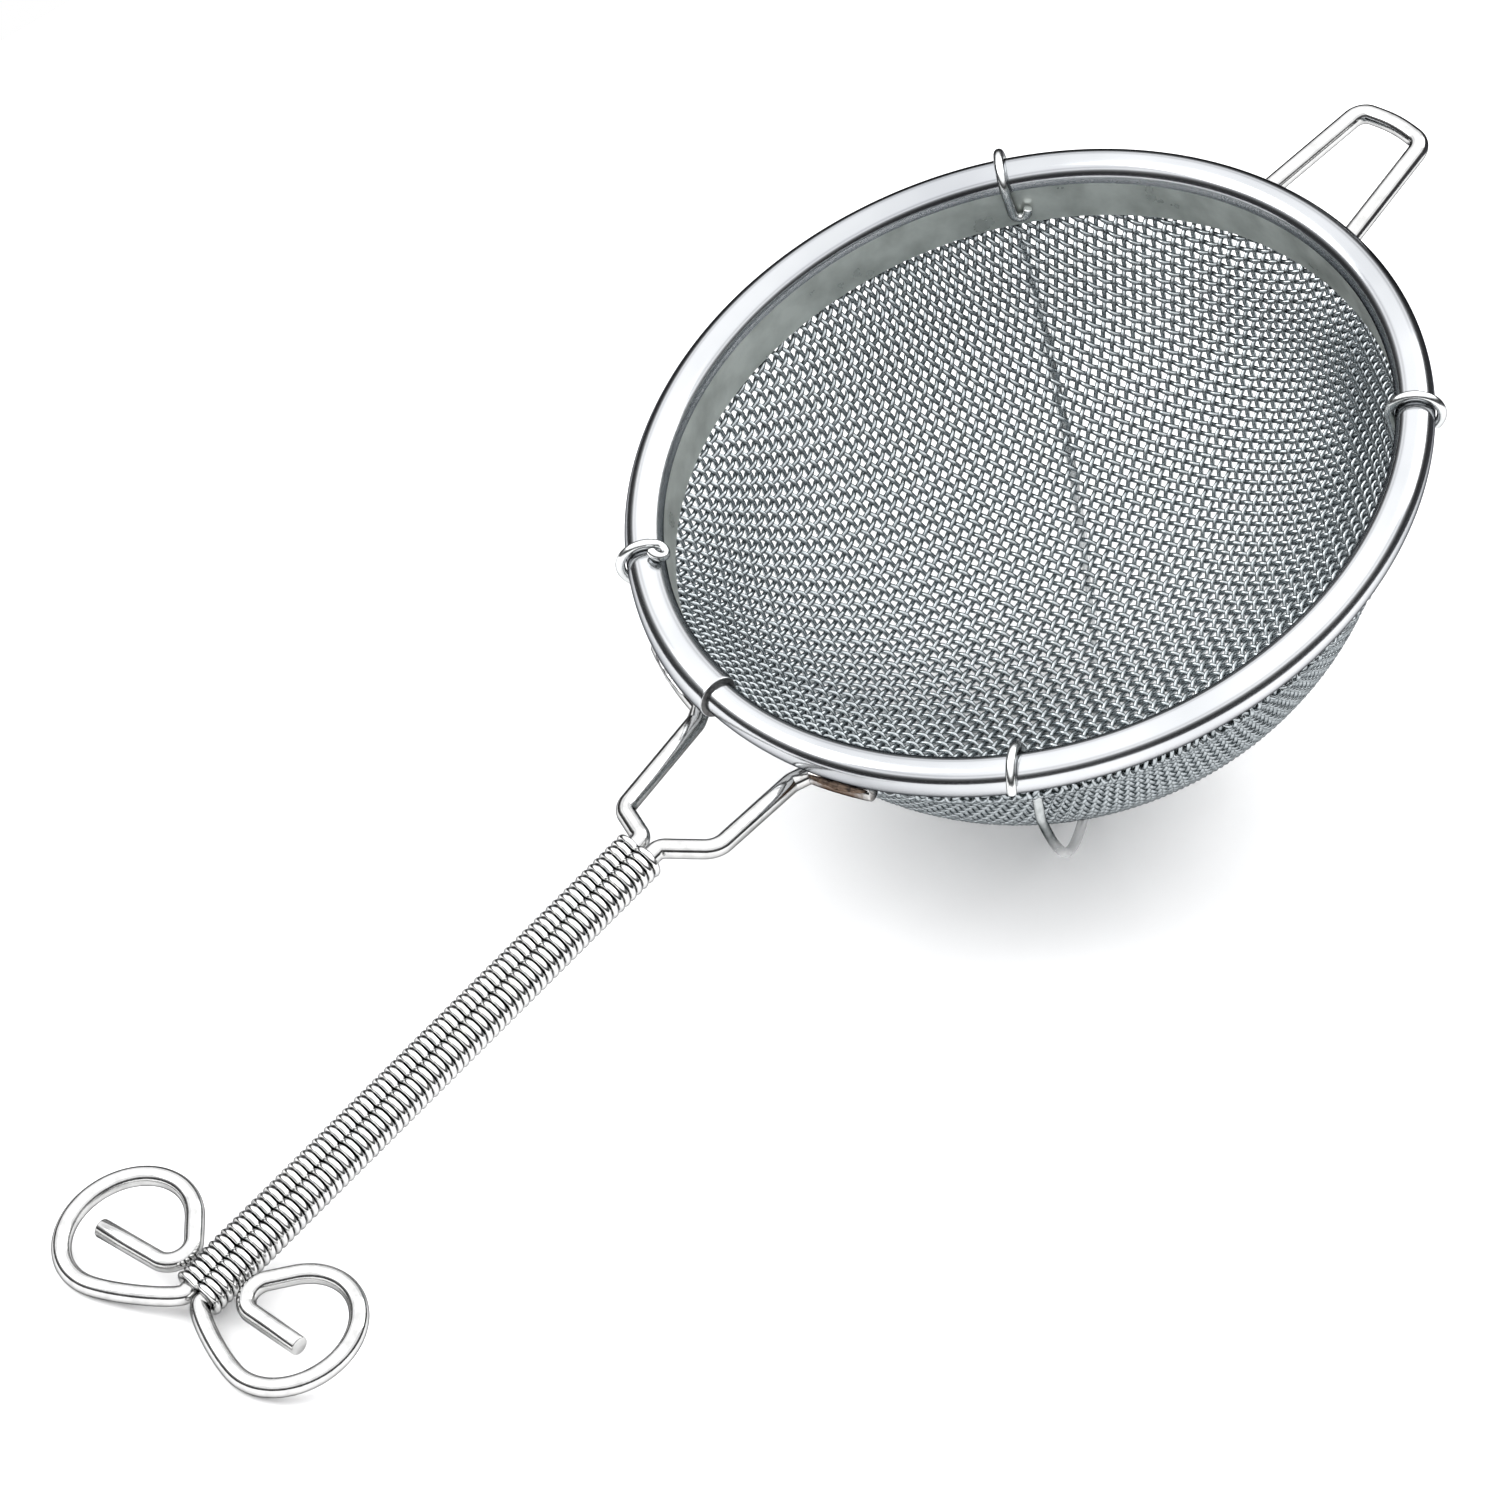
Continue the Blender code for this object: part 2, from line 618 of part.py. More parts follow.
# ---------------------------------------------------------------- assembly
def main():
    clear_scene()
    rest = bpy.data.objects.new("rest_pose", None)
    bpy.context.scene.collection.objects.link(rest)

    bright = steel("polished_rim", (0.86, 0.87, 0.87), 0.08)
    cloth = steel("woven_cloth", (0.62, 0.65, 0.66), 0.34)
    drawn = steel("drawn_wire", (0.83, 0.84, 0.84), 0.14)
    drawn_r = steel("drawn_wire_right", (0.83, 0.84, 0.84), 0.14)
    wrap = steel("wrap_wire", (0.80, 0.81, 0.81), 0.20)
    hook_m = steel("hook_wire", (0.83, 0.84, 0.84), 0.14)
    sup_a = steel("support_wire", (0.70, 0.72, 0.72), 0.22)
    sup_b = steel("support_wire_cross", (0.70, 0.72, 0.72), 0.22)
    weld = steel("weld_metal", (0.42, 0.36, 0.31), 0.45)

    left = handle_path(1.0, LEFT_PRONG)
    right = handle_path(-1.0, RIGHT_PRONG)

    # both support wires and both curls share one floor plane
    ends_a = (("through", (-0.98 * MM, -2.58 * MM), math.radians(4.0)), ("inward", "curl"))
    ends_b = (("inward", "eye"), ("through", (-0.3 * MM, -0.5 * MM), math.radians(-52.0)))

    def path_b(depth):
        return support_path(B_NEAR, B_FAR, depth, SUP_POWER_B, SUP_JOGGLE_B, 0.0, cross_b, *ends_b)

    cross_a = crossing_run(A_NEAR, A_FAR, B_NEAR, B_FAR)
    cross_b = crossing_run(B_NEAR, B_FAR, A_NEAR, A_FAR)
    wire_a = support_path(A_NEAR, A_FAR, SUP_DEPTH, SUP_POWER_A, SUP_JOGGLE_A, SUP_SWAY, cross_a, *ends_a)
    tilt = bisect(lambda t: lowest(wire_a, SUP_R, t) - lowest(left, WIRE_R, t),
                  math.radians(2.0), math.radians(35.0))
    level = lowest(wire_a, SUP_R, tilt)
    depth_b = bisect(lambda d: lowest(path_b(d), SUP_R, tilt) - level, 50.0 * MM, 60.0 * MM)
    wire_b = path_b(depth_b)

    # clearance holes where a support wire goes through the cloth
    cutters = []
    for name, path, angle in (("hole_a", wire_a, A_NEAR), ("hole_b", wire_b, B_FAR)):
        out = polar(angle, 1.0)
        through = [p for p in path if p.dot(out) > 40 * MM and -14.5 * MM < p.z < -6.6 * MM
                   and math.hypot(p.x, p.y) < 56.5 * MM]
        cut = wire_object("cutter_" + name, through, SUP_R + 0.32 * MM, cloth, rest, 8)
        cut.hide_render = True
        cut.display_type = "WIRE"
        cutters.append(cut)

    objects = [
        build_rim(bright, rest),
        build_bowl(cloth, rest, cutters),
        wire_object("handle_wire_left", left, WIRE_R, drawn, rest, WIRE_SIDES),
        wire_object("handle_wire_right", right, WIRE_R, drawn_r, rest, WIRE_SIDES),
        wire_object("grip_coil", coil_path(), COIL_WIRE_R, wrap, rest, COIL_SIDES, math.pi),
        wire_object("pan_hook", hook_path(), WIRE_R, hook_m, rest, WIRE_SIDES),
        wire_object("support_wire_a", wire_a, SUP_R, sup_a, rest, SUP_SIDES),
        wire_object("support_wire_b", wire_b, SUP_R, sup_b, rest, SUP_SIDES),
    ]
    hook_mid = math.asin(HOOK_Y_RIM / TAIL_R) + HOOK_TAIL * 0.6
    under = (TAIL_R, TAIL_Z)
    for name, angle, tail, swell in (
            ("handle_weld_left", LEFT_WELD, LEFT_PRONG["tail"], SEAM_STEP),
            ("handle_weld_right", RIGHT_WELD, RIGHT_PRONG["tail"], 0.0),
            ("hook_weld_left", hook_mid, under, 0.0),
            ("hook_weld_right", -hook_mid, under, 0.0)):
        path = weld_path(angle, WELD_SPAN, tail, swell)
        objects.append(wire_object(name, path, WELD_R, weld, rest, 7))

    # lay the strainer down and centre the bounding box over the origin
    turn = Matrix.Rotation(-tilt, 4, "Y")
    bpy.context.view_layer.update()
    graph = bpy.context.evaluated_depsgraph_get()
    low = Vector((1e9, 1e9, 1e9))
    high = -low
    for obj in objects:
        shape = obj.evaluated_get(graph)
        data = shape.to_mesh()
        for vert in data.vertices:
            co = turn @ (shape.matrix_world @ vert.co)
            for k in range(3):
                low[k] = min(low[k], co[k])
                high[k] = max(high[k], co[k])
        shape.to_mesh_clear()
    rest.rotation_euler = turn.to_euler()
    rest.location = (-(low.x + high.x) / 2, -(low.y + high.y) / 2, -low.z)
    bpy.context.view_layer.update()


main()
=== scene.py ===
"""Looks of the round wire-mesh strainer: woven cloth, rolled rim, wrapped grip and wires."""
import math

import bpy
import numpy as np
from mathutils import Matrix, Vector


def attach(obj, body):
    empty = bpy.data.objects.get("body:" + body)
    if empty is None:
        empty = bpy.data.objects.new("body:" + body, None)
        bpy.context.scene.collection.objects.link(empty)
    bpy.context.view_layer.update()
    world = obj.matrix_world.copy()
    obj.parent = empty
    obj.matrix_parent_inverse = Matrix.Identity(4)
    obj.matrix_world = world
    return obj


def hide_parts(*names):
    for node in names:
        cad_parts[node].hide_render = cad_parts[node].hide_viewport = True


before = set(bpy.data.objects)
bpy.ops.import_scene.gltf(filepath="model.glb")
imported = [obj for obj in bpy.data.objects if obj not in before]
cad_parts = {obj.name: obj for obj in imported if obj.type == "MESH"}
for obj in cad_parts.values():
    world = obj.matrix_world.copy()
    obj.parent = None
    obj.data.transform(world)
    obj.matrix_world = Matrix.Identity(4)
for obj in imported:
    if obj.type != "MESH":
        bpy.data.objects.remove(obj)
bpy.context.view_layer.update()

# The strainer is drawn in its rim frame, then tilted and lifted to its rest pose.
REST_TILT = math.radians(16.793973455)
REST_X = 0.049350195
REST_Z = 0.054738659

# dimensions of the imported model, in its rim frame
MM = 0.001

# ------------------------------------------------------------- rim band
RIM_OUTER_R = 60.0 * MM          # outside of the rolled bead
BEAD_R = 2.9 * MM                # radius of the rolled bead
BEAD_CORE_R = RIM_OUTER_R - BEAD_R
SKIRT_T = 0.55 * MM              # sheet of the inner skirt
SKIRT_BOTTOM = -7.1 * MM         # lower edge of the inner skirt
SEAM_ANGLE = math.radians(170.0)     # lap joint of the bead, beside the handle
SEAM_STEP = 0.45 * MM            # how much the lapping end stands proud
SEAM_TUCK = 0.40 * MM            # how much the tucked end is squeezed
SEAM_BLEND = math.radians(28.0)  # run over which the lap fades out
RIM_SEGMENTS = 60

# ------------------------------------------------------------- mesh bowl
BOWL_COLLAR_R = 55.9 * MM        # outside of the cloth behind the skirt
BOWL_COLLAR_TOP = -3.50 * MM
BOWL_COLLAR_LOW = -7.4 * MM
BOWL_A = 53.3 * MM               # pressed half ellipsoid
BOWL_DEPTH = 48.4 * MM
BOWL_EASE = 14.0 * MM            # height over which the collar runs in
BOWL_T = 0.95 * MM               # two crossing cloth wires
BOWL_SEGMENTS = 52
BOWL_RINGS = 11

# ------------------------------------------------------------- frame wire
WIRE_R = 1.46 * MM               # handle and hook wire
WIRE_SIDES = 9
TAIL_R = 58.66 * MM              # wire centre where it is tucked under the bead
TAIL_Z = -4.23 * MM
LEFT_PRONG = {                   # +Y side
    "tail": (58.80 * MM, -4.66 * MM),    # under the swollen side of the lap
    "tail_from": math.radians(151.5),
    "rim": (-59.4 * MM, 13.4 * MM),
    "bend": (-78.9 * MM, 8.1 * MM),
    "neck": (-81.5 * MM, 1.68 * MM),
    "loop": (-174.25 * MM, 16.64 * MM),
    "return_y": 6.34 * MM,
    "end_y": 20.5 * MM,
}
RIGHT_PRONG = {                  # -Y side, given mirrored
    "tail": (57.80 * MM, -4.46 * MM),
    "tail_from": math.radians(161.5),
    "rim": (-60.1 * MM, 6.7 * MM),
    "bend": (-76.9 * MM, 8.9 * MM),
    "neck": (-81.5 * MM, 1.68 * MM),
    "loop": (-173.67 * MM, 16.25 * MM),
    "return_y": 6.15 * MM,
    "end_y": 19.2 * MM,
}
CORE_Y = 1.6 * MM                # half spacing of the two grip wires
CURL_X_OUT = -177.5 * MM         # where a wire leaves the grip for its curl
CURL_AX = 10.15 * MM             # curl: elliptic loop
CURL_AY = 9.39 * MM
CURL_START = math.radians(190.0)
CURL_END = math.radians(-45.0)
CURL_HOOK_R = 3.2 * MM           # small return bend

# ------------------------------------------------------------- grip coil
COIL_WIRE_R = 0.56 * MM
COIL_SIDES = 5
COIL_PITCH = 1.262 * MM
COIL_X0 = -83.4 * MM
COIL_TURNS = 74.1
COIL_REACH = 2.25 * MM           # wrap centre line from a grip wire's axis

# ------------------------------------------------------------- pan hook
HOOK_Z = TAIL_Z
HOOK_Y_RIM = 8.4 * MM
HOOK_X_RIM = 61.9 * MM
HOOK_Y_END = 6.2 * MM
HOOK_X_END = 79.5 * MM
HOOK_ARCH = 0.9 * MM             # outward bow of the end bar
HOOK_CORNER = 2.6 * MM
HOOK_TAIL = math.radians(20.0)   # welded tail, measured round the rim

# ------------------------------------------------------------- support wires
SUP_R = 0.74 * MM
SUP_SIDES = 6
SUP_HUG = BEAD_R + SUP_R + 0.16 * MM     # wire centre from the bead core
SUP_RIM_R = 56.3 * MM
SUP_TOP_Z = -3.0 * MM
SUP_KNEE_R = 57.05 * MM          # where a wire clears the collar on its way up
SUP_KNEE_Z = -6.4 * MM
SUP_DEPTH = 54.6 * MM            # wire centre below the rim plane
SUP_POWER_A = 1.92
SUP_POWER_B = 1.60
SUP_SWAY = 2.3 * MM              # sideways lean of wire A on its near flank
SUP_JOGGLE_A = -0.25 * MM        # wire A is pressed down at the crossing
SUP_JOGGLE_B = 3.00 * MM         # wire B steps over it
SUP_JOGGLE_RUN = 5.5 * MM
A_NEAR = math.radians(-137.1)    # wire A, from beside the handle ...
A_FAR = math.radians(46.4)       # ... to beside the pan hook
B_NEAR = math.radians(139.8)
B_FAR = math.radians(-47.8)

EYE_R = 1.20 * MM                # rolled eye at one end of wire B
EYE_TURN = 255.0
SMALL_HOOK_R = 1.1 * MM          # turned-up end of wire A
SMALL_HOOK_DROP = 3.6 * MM

# ------------------------------------------------------------- welds
WELD_R = 0.55 * MM
WELD_SPAN = math.radians(9.0)
LEFT_WELD = math.radians(159.0)
RIGHT_WELD = math.radians(-166.4)


def polar(angle, radius, z=0.0, side=0.0):
    """Point at a plan angle and radius, moved sideways along the rim."""
    c, s = math.cos(angle), math.sin(angle)
    return Vector((radius * c - side * s, radius * s + side * c, z))


def hermite(p0, t0, p1, t1, steps):
    out = []
    for k in range(1, steps):
        u = k / steps
        h00 = 2 * u**3 - 3 * u**2 + 1
        h10 = u**3 - 2 * u**2 + u
        h01 = -2 * u**3 + 3 * u**2
        h11 = u**3 - u**2
        out.append(h00 * p0 + h10 * t0 + h01 * p1 + h11 * t1)
    return out


def rounded(points, radii, step=math.radians(4.0)):
    """Polyline with each inner corner replaced by a true arc."""
    out = [points[0].copy()]
    for k in range(1, len(points) - 1):
        a, b, c = points[k - 1], points[k], points[k + 1]
        u = (a - b).normalized()
        v = (c - b).normalized()
        half = u.angle(v) / 2.0
        radius = radii[k - 1]
        cut = radius / math.tan(half)
        centre = b + (u + v).normalized() * (radius / math.sin(half))
        start, end = b + u * cut - centre, b + v * cut - centre
        sweep = start.angle(end)
        count = max(2, int(round(sweep / step)))
        for i in range(count + 1):
            w = i / count
            arm = (start * math.sin((1 - w) * sweep) + end * math.sin(w * sweep)) / math.sin(sweep)
            out.append(centre + arm)
    out.append(points[-1].copy())
    return out


def thin_out(points, least):
    """Drop points closer together than the given spacing, keeping both ends."""
    out = [points[0]]
    for p in points[1:-1]:
        if (p - out[-1]).length >= least:
            out.append(p)
    if (points[-1] - out[-1]).length < least and len(out) > 1:
        out.pop()
    out.append(points[-1])
    return out


def rim_section(swell):
    """Closed r-z section: a round bead with a flat skirt on its inner side."""
    inner = BEAD_CORE_R - BEAD_R
    radius = BEAD_R + swell
    leg = inner + SKIRT_T
    start = -math.acos((leg - BEAD_CORE_R) / radius)
    stop = math.acos(max(-1.0, (inner - BEAD_CORE_R) / radius))
    pts = []
    arc = 64
    for k in range(arc + 1):
        a = start + (stop - start) * k / arc
        pts.append((BEAD_CORE_R + radius * math.cos(a), radius * math.sin(a)))
    pts.append((inner, -3.6 * MM))
    pts.append((inner, SKIRT_BOTTOM))
    pts.append((leg, SKIRT_BOTTOM))
    return pts


def seam_swell(run):
    """Change of the bead's radius at an angle past the lap joint."""
    after = max(0.0, 1.0 - run / SEAM_BLEND)
    before = max(0.0, 1.0 - (2 * math.pi - run) / SEAM_BLEND)
    return (SEAM_STEP * before * before * (3 - 2 * before)
            - SEAM_TUCK * after * after * (3 - 2 * after))


def bowl_radius(z):
    """Outside radius of the cloth at a height below the rim plane."""
    if z >= BOWL_COLLAR_LOW:
        return BOWL_COLLAR_R
    shell = BOWL_A * math.sqrt(max(0.0, 1.0 - (z / BOWL_DEPTH) ** 2))
    start = BOWL_A * math.sqrt(1.0 - (BOWL_COLLAR_LOW / BOWL_DEPTH) ** 2)
    ease = max(0.0, 1.0 - (BOWL_COLLAR_LOW - z) / BOWL_EASE)
    return shell + (BOWL_COLLAR_R - start) * ease ** 3


def handle_path(side, prong):
    """Centre line of one handle wire: tail on the rim, prong, grip, curl."""
    tail_r, tail_z = prong["tail"]
    rim = Vector((*prong["rim"], tail_z))
    bend = Vector((*prong["bend"], -0.35 * MM))
    neck = Vector((*prong["neck"], 0.0))
    pts = []
    # tail that follows the bead and the bend out into the prong
    end_angle = math.pi - math.atan2(rim.y, -rim.x)
    first, count = prong["tail_from"], 26
    for k in range(count):
        a = first + (end_angle - math.radians(1.6) - first) * k / (count - 1)
        pts.append(Vector((tail_r * math.cos(a), tail_r * math.sin(a), tail_z)))
    corner = [pts[-1], rim, bend, neck, Vector((neck.x - 4.0 * MM, CORE_Y, 0.0))]
    pts += rounded(corner, (1.5 * MM, 3.0 * MM, 1.7 * MM))[1:]
    # straight grip wire
    start_x = pts[-1].x
    for k in range(1, 41):
        pts.append(Vector((start_x + (CURL_X_OUT - start_x) * k / 40, CORE_Y, 0.0)))
    middle = Vector((*prong["loop"], 0.0))

    def loop(a):
        return middle + Vector((CURL_AX * math.cos(a), CURL_AY * math.sin(a), 0.0))

    def loop_way(a):
        return Vector((CURL_AX * math.sin(a), -CURL_AY * math.cos(a), 0.0)).normalized()

    # out of the grip in one sweep on to the loop
    pts += hermite(pts[-1], Vector((-4.0 * MM, 0.0, 0.0)), loop(CURL_START),
                   loop_way(CURL_START) * 14.0 * MM, 60)
    # the loop itself
    count = 110
    for k in range(count + 1):
        pts.append(loop(CURL_START + (CURL_END - CURL_START) * k / count))
    # straight towards the grip, small return bend, then the straight end
    way = loop_way(CURL_END)
    right = Vector((way.y, -way.x, 0.0))
    low = pts[-1].y + (right.y - 1.0) * CURL_HOOK_R
    pts.append(pts[-1] + way * (prong["return_y"] - low) / way.y)
    centre = pts[-1] + right * CURL_HOOK_R
    first = math.atan2(-right.y, -right.x)
    last = math.radians(180.0 + 2.0)
    while first < last:
        first += 2 * math.pi
    count = 40
    for k in range(1, count + 1):
        a = first + (last - first) * k / count
        pts.append(centre + Vector((math.cos(a), math.sin(a), 0.0)) * CURL_HOOK_R)
    direction = Vector((math.sin(last), -math.cos(last), 0.0))
    stem = (prong["end_y"] - pts[-1].y) / direction.y
    pts.append(pts[-1] + direction * stem * 0.5)
    pts.append(pts[-2] + direction * stem)
    pts = thin_out(pts, 0.12 * MM)
    return [Vector((p.x, p.y * side, p.z)) for p in pts]


def hook_path():
    tail_end = math.asin(HOOK_Y_RIM / TAIL_R) + HOOK_TAIL
    tail_in = math.asin((HOOK_Y_RIM + 1.3 * MM) / TAIL_R)
    one = []
    for k in range(19):
        a = tail_end + (tail_in - tail_end) * k / 18
        one.append(Vector((TAIL_R * math.cos(a), TAIL_R * math.sin(a), HOOK_Z)))
    leg = [
        one[-1],
        Vector((HOOK_X_RIM - 1.6 * MM, HOOK_Y_RIM + 0.1 * MM, HOOK_Z)),
        Vector((HOOK_X_END, HOOK_Y_END, HOOK_Z + 0.5 * MM)),
        Vector((HOOK_X_END + HOOK_ARCH, 0.0, HOOK_Z + 0.5 * MM)),
        Vector((HOOK_X_END, -HOOK_Y_END, HOOK_Z + 0.5 * MM)),
        Vector((HOOK_X_RIM - 1.6 * MM, -HOOK_Y_RIM - 0.1 * MM, HOOK_Z)),
        Vector((one[-1].x, -one[-1].y, HOOK_Z)),
    ]
    bent = rounded(leg, (1.2 * MM, HOOK_CORNER, 20.0 * MM, HOOK_CORNER, 1.2 * MM))
    back = [Vector((p.x, -p.y, p.z)) for p in reversed(one[:-1])]
    return thin_out(one[:-1] + bent + back, 0.12 * MM)


def crossing_run(near, far, other_near, other_far):
    """Distance from the middle of one chord to where the other crosses it."""
    a, b = polar(near, SUP_RIM_R), polar(far, SUP_RIM_R)
    c, d = polar(other_near, SUP_RIM_R), polar(other_far, SUP_RIM_R)
    u, v, w = b - a, d - c, c - a
    share = (w.x * v.y - w.y * v.x) / (u.x * v.y - u.y * v.x)
    return u.length * (share - 0.5)


def support_span(near, far, depth, power, lift, sway, cross):
    """Wire under the bowl, from just below the rim on one side to the other."""
    a = polar(near, SUP_RIM_R)
    b = polar(far, SUP_RIM_R)
    mid, arm = (a + b) / 2, (b - a) / 2
    across = Vector((-arm.y, arm.x, 0.0)).normalized()
    pts = []
    steps = 240
    for k in range(steps + 1):
        t = math.pi * k / steps
        s = -math.copysign(abs(math.cos(t)) ** (2.0 / power), math.cos(t))
        z = SUP_TOP_Z - (depth + SUP_TOP_Z) * math.sin(t) ** (2.0 / power)
        run = arm.length * s
        p = mid + arm * s + across * sway * math.exp(-(((run + 35 * MM) / (28 * MM)) ** 2))
        p.z = z + lift * math.exp(-(((run - cross) / SUP_JOGGLE_RUN) ** 2))
        pts.append(p)
    return thin_out(pts, 0.25 * MM)


def hug(angle, first, last, side0, side1, count):
    """Arc of a wire pulled over the rim bead, as seen in the r-z plane."""
    out = []
    for k in range(count + 1):
        w = k / count
        a = first + (last - first) * w
        out.append(polar(angle, BEAD_CORE_R + SUP_HUG * math.cos(a), SUP_HUG * math.sin(a),
                         side0 + (side1 - side0) * w))
    return out


def end_over_inward(angle, entry, heading, style):
    """From below, round the outside of the bead, over it and back inside."""
    radial = polar(angle, 1.0)
    around = Vector((-radial.y, radial.x, 0.0))
    up = Vector((0.0, 0.0, 1.0))
    stop = math.radians(128.0 if style == "eye" else 180.0)
    arc = hug(angle, math.radians(-60.0), stop, 0.0, -0.4 * MM, 60)
    lead = (arc[1] - arc[0]).normalized()
    knee = polar(angle, SUP_KNEE_R, SUP_KNEE_Z)
    lean = (radial * 0.34 + up).normalized()
    pts = hermite(entry, heading * 3.2 * MM, knee, lean * 3.0 * MM, 18) + [knee]
    pts += hermite(knee, lean * 2.6 * MM, arc[0], lead * 2.4 * MM, 18) + arc
    if style == "eye":
        # wire end rolled into an open eye lying against the bead
        way = (-math.sin(stop)) * radial + math.cos(stop) * up
        centre = arc[-1] + around * EYE_R
        for k in range(1, 37):
            a = math.radians(EYE_TURN) * k / 36
            pts.append(centre - around * EYE_R * math.cos(a) + way * EYE_R * math.sin(a))
    else:
        # straight down the skirt, then a small upward hook beside it
        base = arc[-1] - up * SMALL_HOOK_DROP
        pts.append(base)
        centre = base - around * SMALL_HOOK_R
        for k in range(1, 33):
            a = math.radians(165.0) * k / 32
            pts.append(centre + around * SMALL_HOOK_R * math.cos(a) - up * SMALL_HOOK_R * math.sin(a))
        pts.append(pts[-1] + (pts[-1] - pts[-2]).normalized() * 0.8 * MM)
    return pts


def end_through_outward(angle, entry, heading, sides, finish):
    """Through the cloth under the skirt, up inside, over and down outside."""
    low = polar(angle, BEAD_CORE_R - SUP_HUG - 0.12 * MM, SKIRT_BOTTOM + 0.2 * MM, sides[0])
    pts = hermite(entry, heading * 6.0 * MM, low, Vector((0, 0, 1)) * 4.0 * MM, 28)
    pts.append(low)
    pts += hug(angle, math.radians(180), finish, sides[0], sides[1], 60)
    return pts


def support_path(near, far, depth, power, lift, sway, cross, near_end, far_end):
    span = support_span(near, far, depth, power, lift, sway, cross)
    # the span gives way to the rim fittings this far below the rim plane
    limits = {"inward": -9.5 * MM, "through": -13.2 * MM}
    first = next(k for k, p in enumerate(span) if p.z < limits[near_end[0]])
    last = max(k for k, p in enumerate(span) if p.z < limits[far_end[0]])
    body = span[first:last + 1]

    def fitted(angle, end, entry, heading):
        if end[0] == "inward":
            return end_over_inward(angle, entry, heading, end[1])
        return end_through_outward(angle, entry, heading, end[1], end[2])

    head = fitted(near, near_end, body[0], (body[0] - body[1]).normalized())
    tail = fitted(far, far_end, body[-1], (body[-1] - body[-2]).normalized())
    return thin_out(list(reversed(head)) + body + tail, 0.10 * MM)


def lowest(points, radius, tilt):
    return min(p.x * math.sin(tilt) + p.z * math.cos(tilt) for p in points) - radius


def bisect(func, low, high):
    sign = func(low) > 0
    for _ in range(50):
        mid = (low + high) / 2
        if (func(mid) > 0) == sign:
            low = mid
        else:
            high = mid
    return (low + high) / 2


def weld_path(centre_angle, span, tail, swell=0.0):
    """Short fillet in the outer groove between a tail and the bead."""
    dx, dz = tail[0] - BEAD_CORE_R, tail[1]
    gap = math.hypot(dx, dz)
    ra = BEAD_R + swell + WELD_R + 0.14 * MM
    rb = WIRE_R + WELD_R + 0.10 * MM
    along = (ra**2 - rb**2 + gap**2) / (2 * gap)
    off = math.sqrt(ra**2 - along**2)
    r = BEAD_CORE_R + (dx * along - dz * off) / gap
    z = (dz * along + dx * off) / gap
    count = 24
    pts = []
    for k in range(count + 1):
        a = centre_angle + span * (k / count - 0.5)
        pts.append(Vector((r * math.cos(a), r * math.sin(a), z)))
    return pts


# ------------------------------------------------------------ mesh building
REST = Matrix.Translation((REST_X, 0.0, REST_Z)) @ Matrix.Rotation(-REST_TILT, 4, "Y")
REST_R = np.array(REST.to_3x3())
REST_T = np.array(REST.translation)


def placed(points):
    """Rim-frame points (n, 3) in the row frame."""
    return np.asarray(points, dtype=float) @ REST_R.T + REST_T


def new_mesh(name, verts, quads, tris=None, smooth=True):
    """A mesh from arrays of points (row frame), quads and optional triangles."""
    verts = np.asarray(verts, dtype=np.float32)
    quads = np.asarray(quads, dtype=np.int32).reshape(-1, 4)
    tris = np.zeros((0, 3), np.int32) if tris is None else np.asarray(tris, dtype=np.int32).reshape(-1, 3)
    data = bpy.data.meshes.new(name)
    data.vertices.add(len(verts))
    data.vertices.foreach_set("co", verts.ravel())
    data.loops.add(quads.size + tris.size)
    data.loops.foreach_set("vertex_index", np.concatenate([quads.ravel(), tris.ravel()]))
    data.polygons.add(len(quads) + len(tris))
    starts = np.concatenate([np.arange(len(quads)) * 4, quads.size + np.arange(len(tris)) * 3])
    data.polygons.foreach_set("loop_start", starts.astype(np.int32))
    data.polygons.foreach_set("use_smooth", np.full(len(quads) + len(tris), smooth, dtype=bool))
    data.update(calc_edges=True)
    data.validate()
    obj = bpy.data.objects.new(name, data)
    bpy.context.scene.collection.objects.link(obj)
    return obj


def tube_arrays(points, radius, sides, normals=None):
    """Round tube along one polyline. Returns points, quads, tris. radius is a number or an array."""
    p = np.asarray(points, dtype=float)
    n = len(p)
    t = np.zeros_like(p)
    t[1:-1] = p[2:] - p[:-2]
    t[0], t[-1] = p[1] - p[0], p[-1] - p[-2]
    t /= np.linalg.norm(t, axis=1)[:, None]
    if normals is None:
        ref = np.array([0.0, 0.0, 1.0]) if abs(t[0, 2]) < 0.9 else np.array([0.0, 1.0, 0.0])
        u = np.zeros_like(p)
        u[0] = ref - t[0] * (ref @ t[0])
        u[0] /= np.linalg.norm(u[0])
        for k in range(1, n):
            w = u[k - 1] - t[k] * (u[k - 1] @ t[k])
            u[k] = w / np.linalg.norm(w)
    else:
        u = normals - t * np.sum(normals * t, axis=1)[:, None]
        u /= np.linalg.norm(u, axis=1)[:, None]
    v = np.cross(t, u)
    a = np.arange(sides) * (2 * math.pi / sides)
    rad = np.broadcast_to(np.asarray(radius, dtype=float), (n,))
    ring = (np.cos(a)[None, :, None] * u[:, None, :] + np.sin(a)[None, :, None] * v[:, None, :])
    verts = (p[:, None, :] + ring * rad[:, None, None]).reshape(-1, 3)
    i = np.arange(n - 1)[:, None] * sides
    j = np.arange(sides)[None, :]
    k = (j + 1) % sides
    quads = np.stack([i + j, i + k, i + sides + k, i + sides + j], axis=-1).reshape(-1, 4)
    ends = np.array([p[0], p[-1]])
    verts = np.concatenate([verts, ends])
    first, last = n * sides, n * sides + 1
    jj = np.arange(sides)
    kk = (jj + 1) % sides
    top = (n - 1) * sides
    tris = np.concatenate([
        np.stack([np.full(sides, first), kk, jj], axis=-1),
        np.stack([np.full(sides, last), top + jj, top + kk], axis=-1),
    ])
    return verts, quads, tris


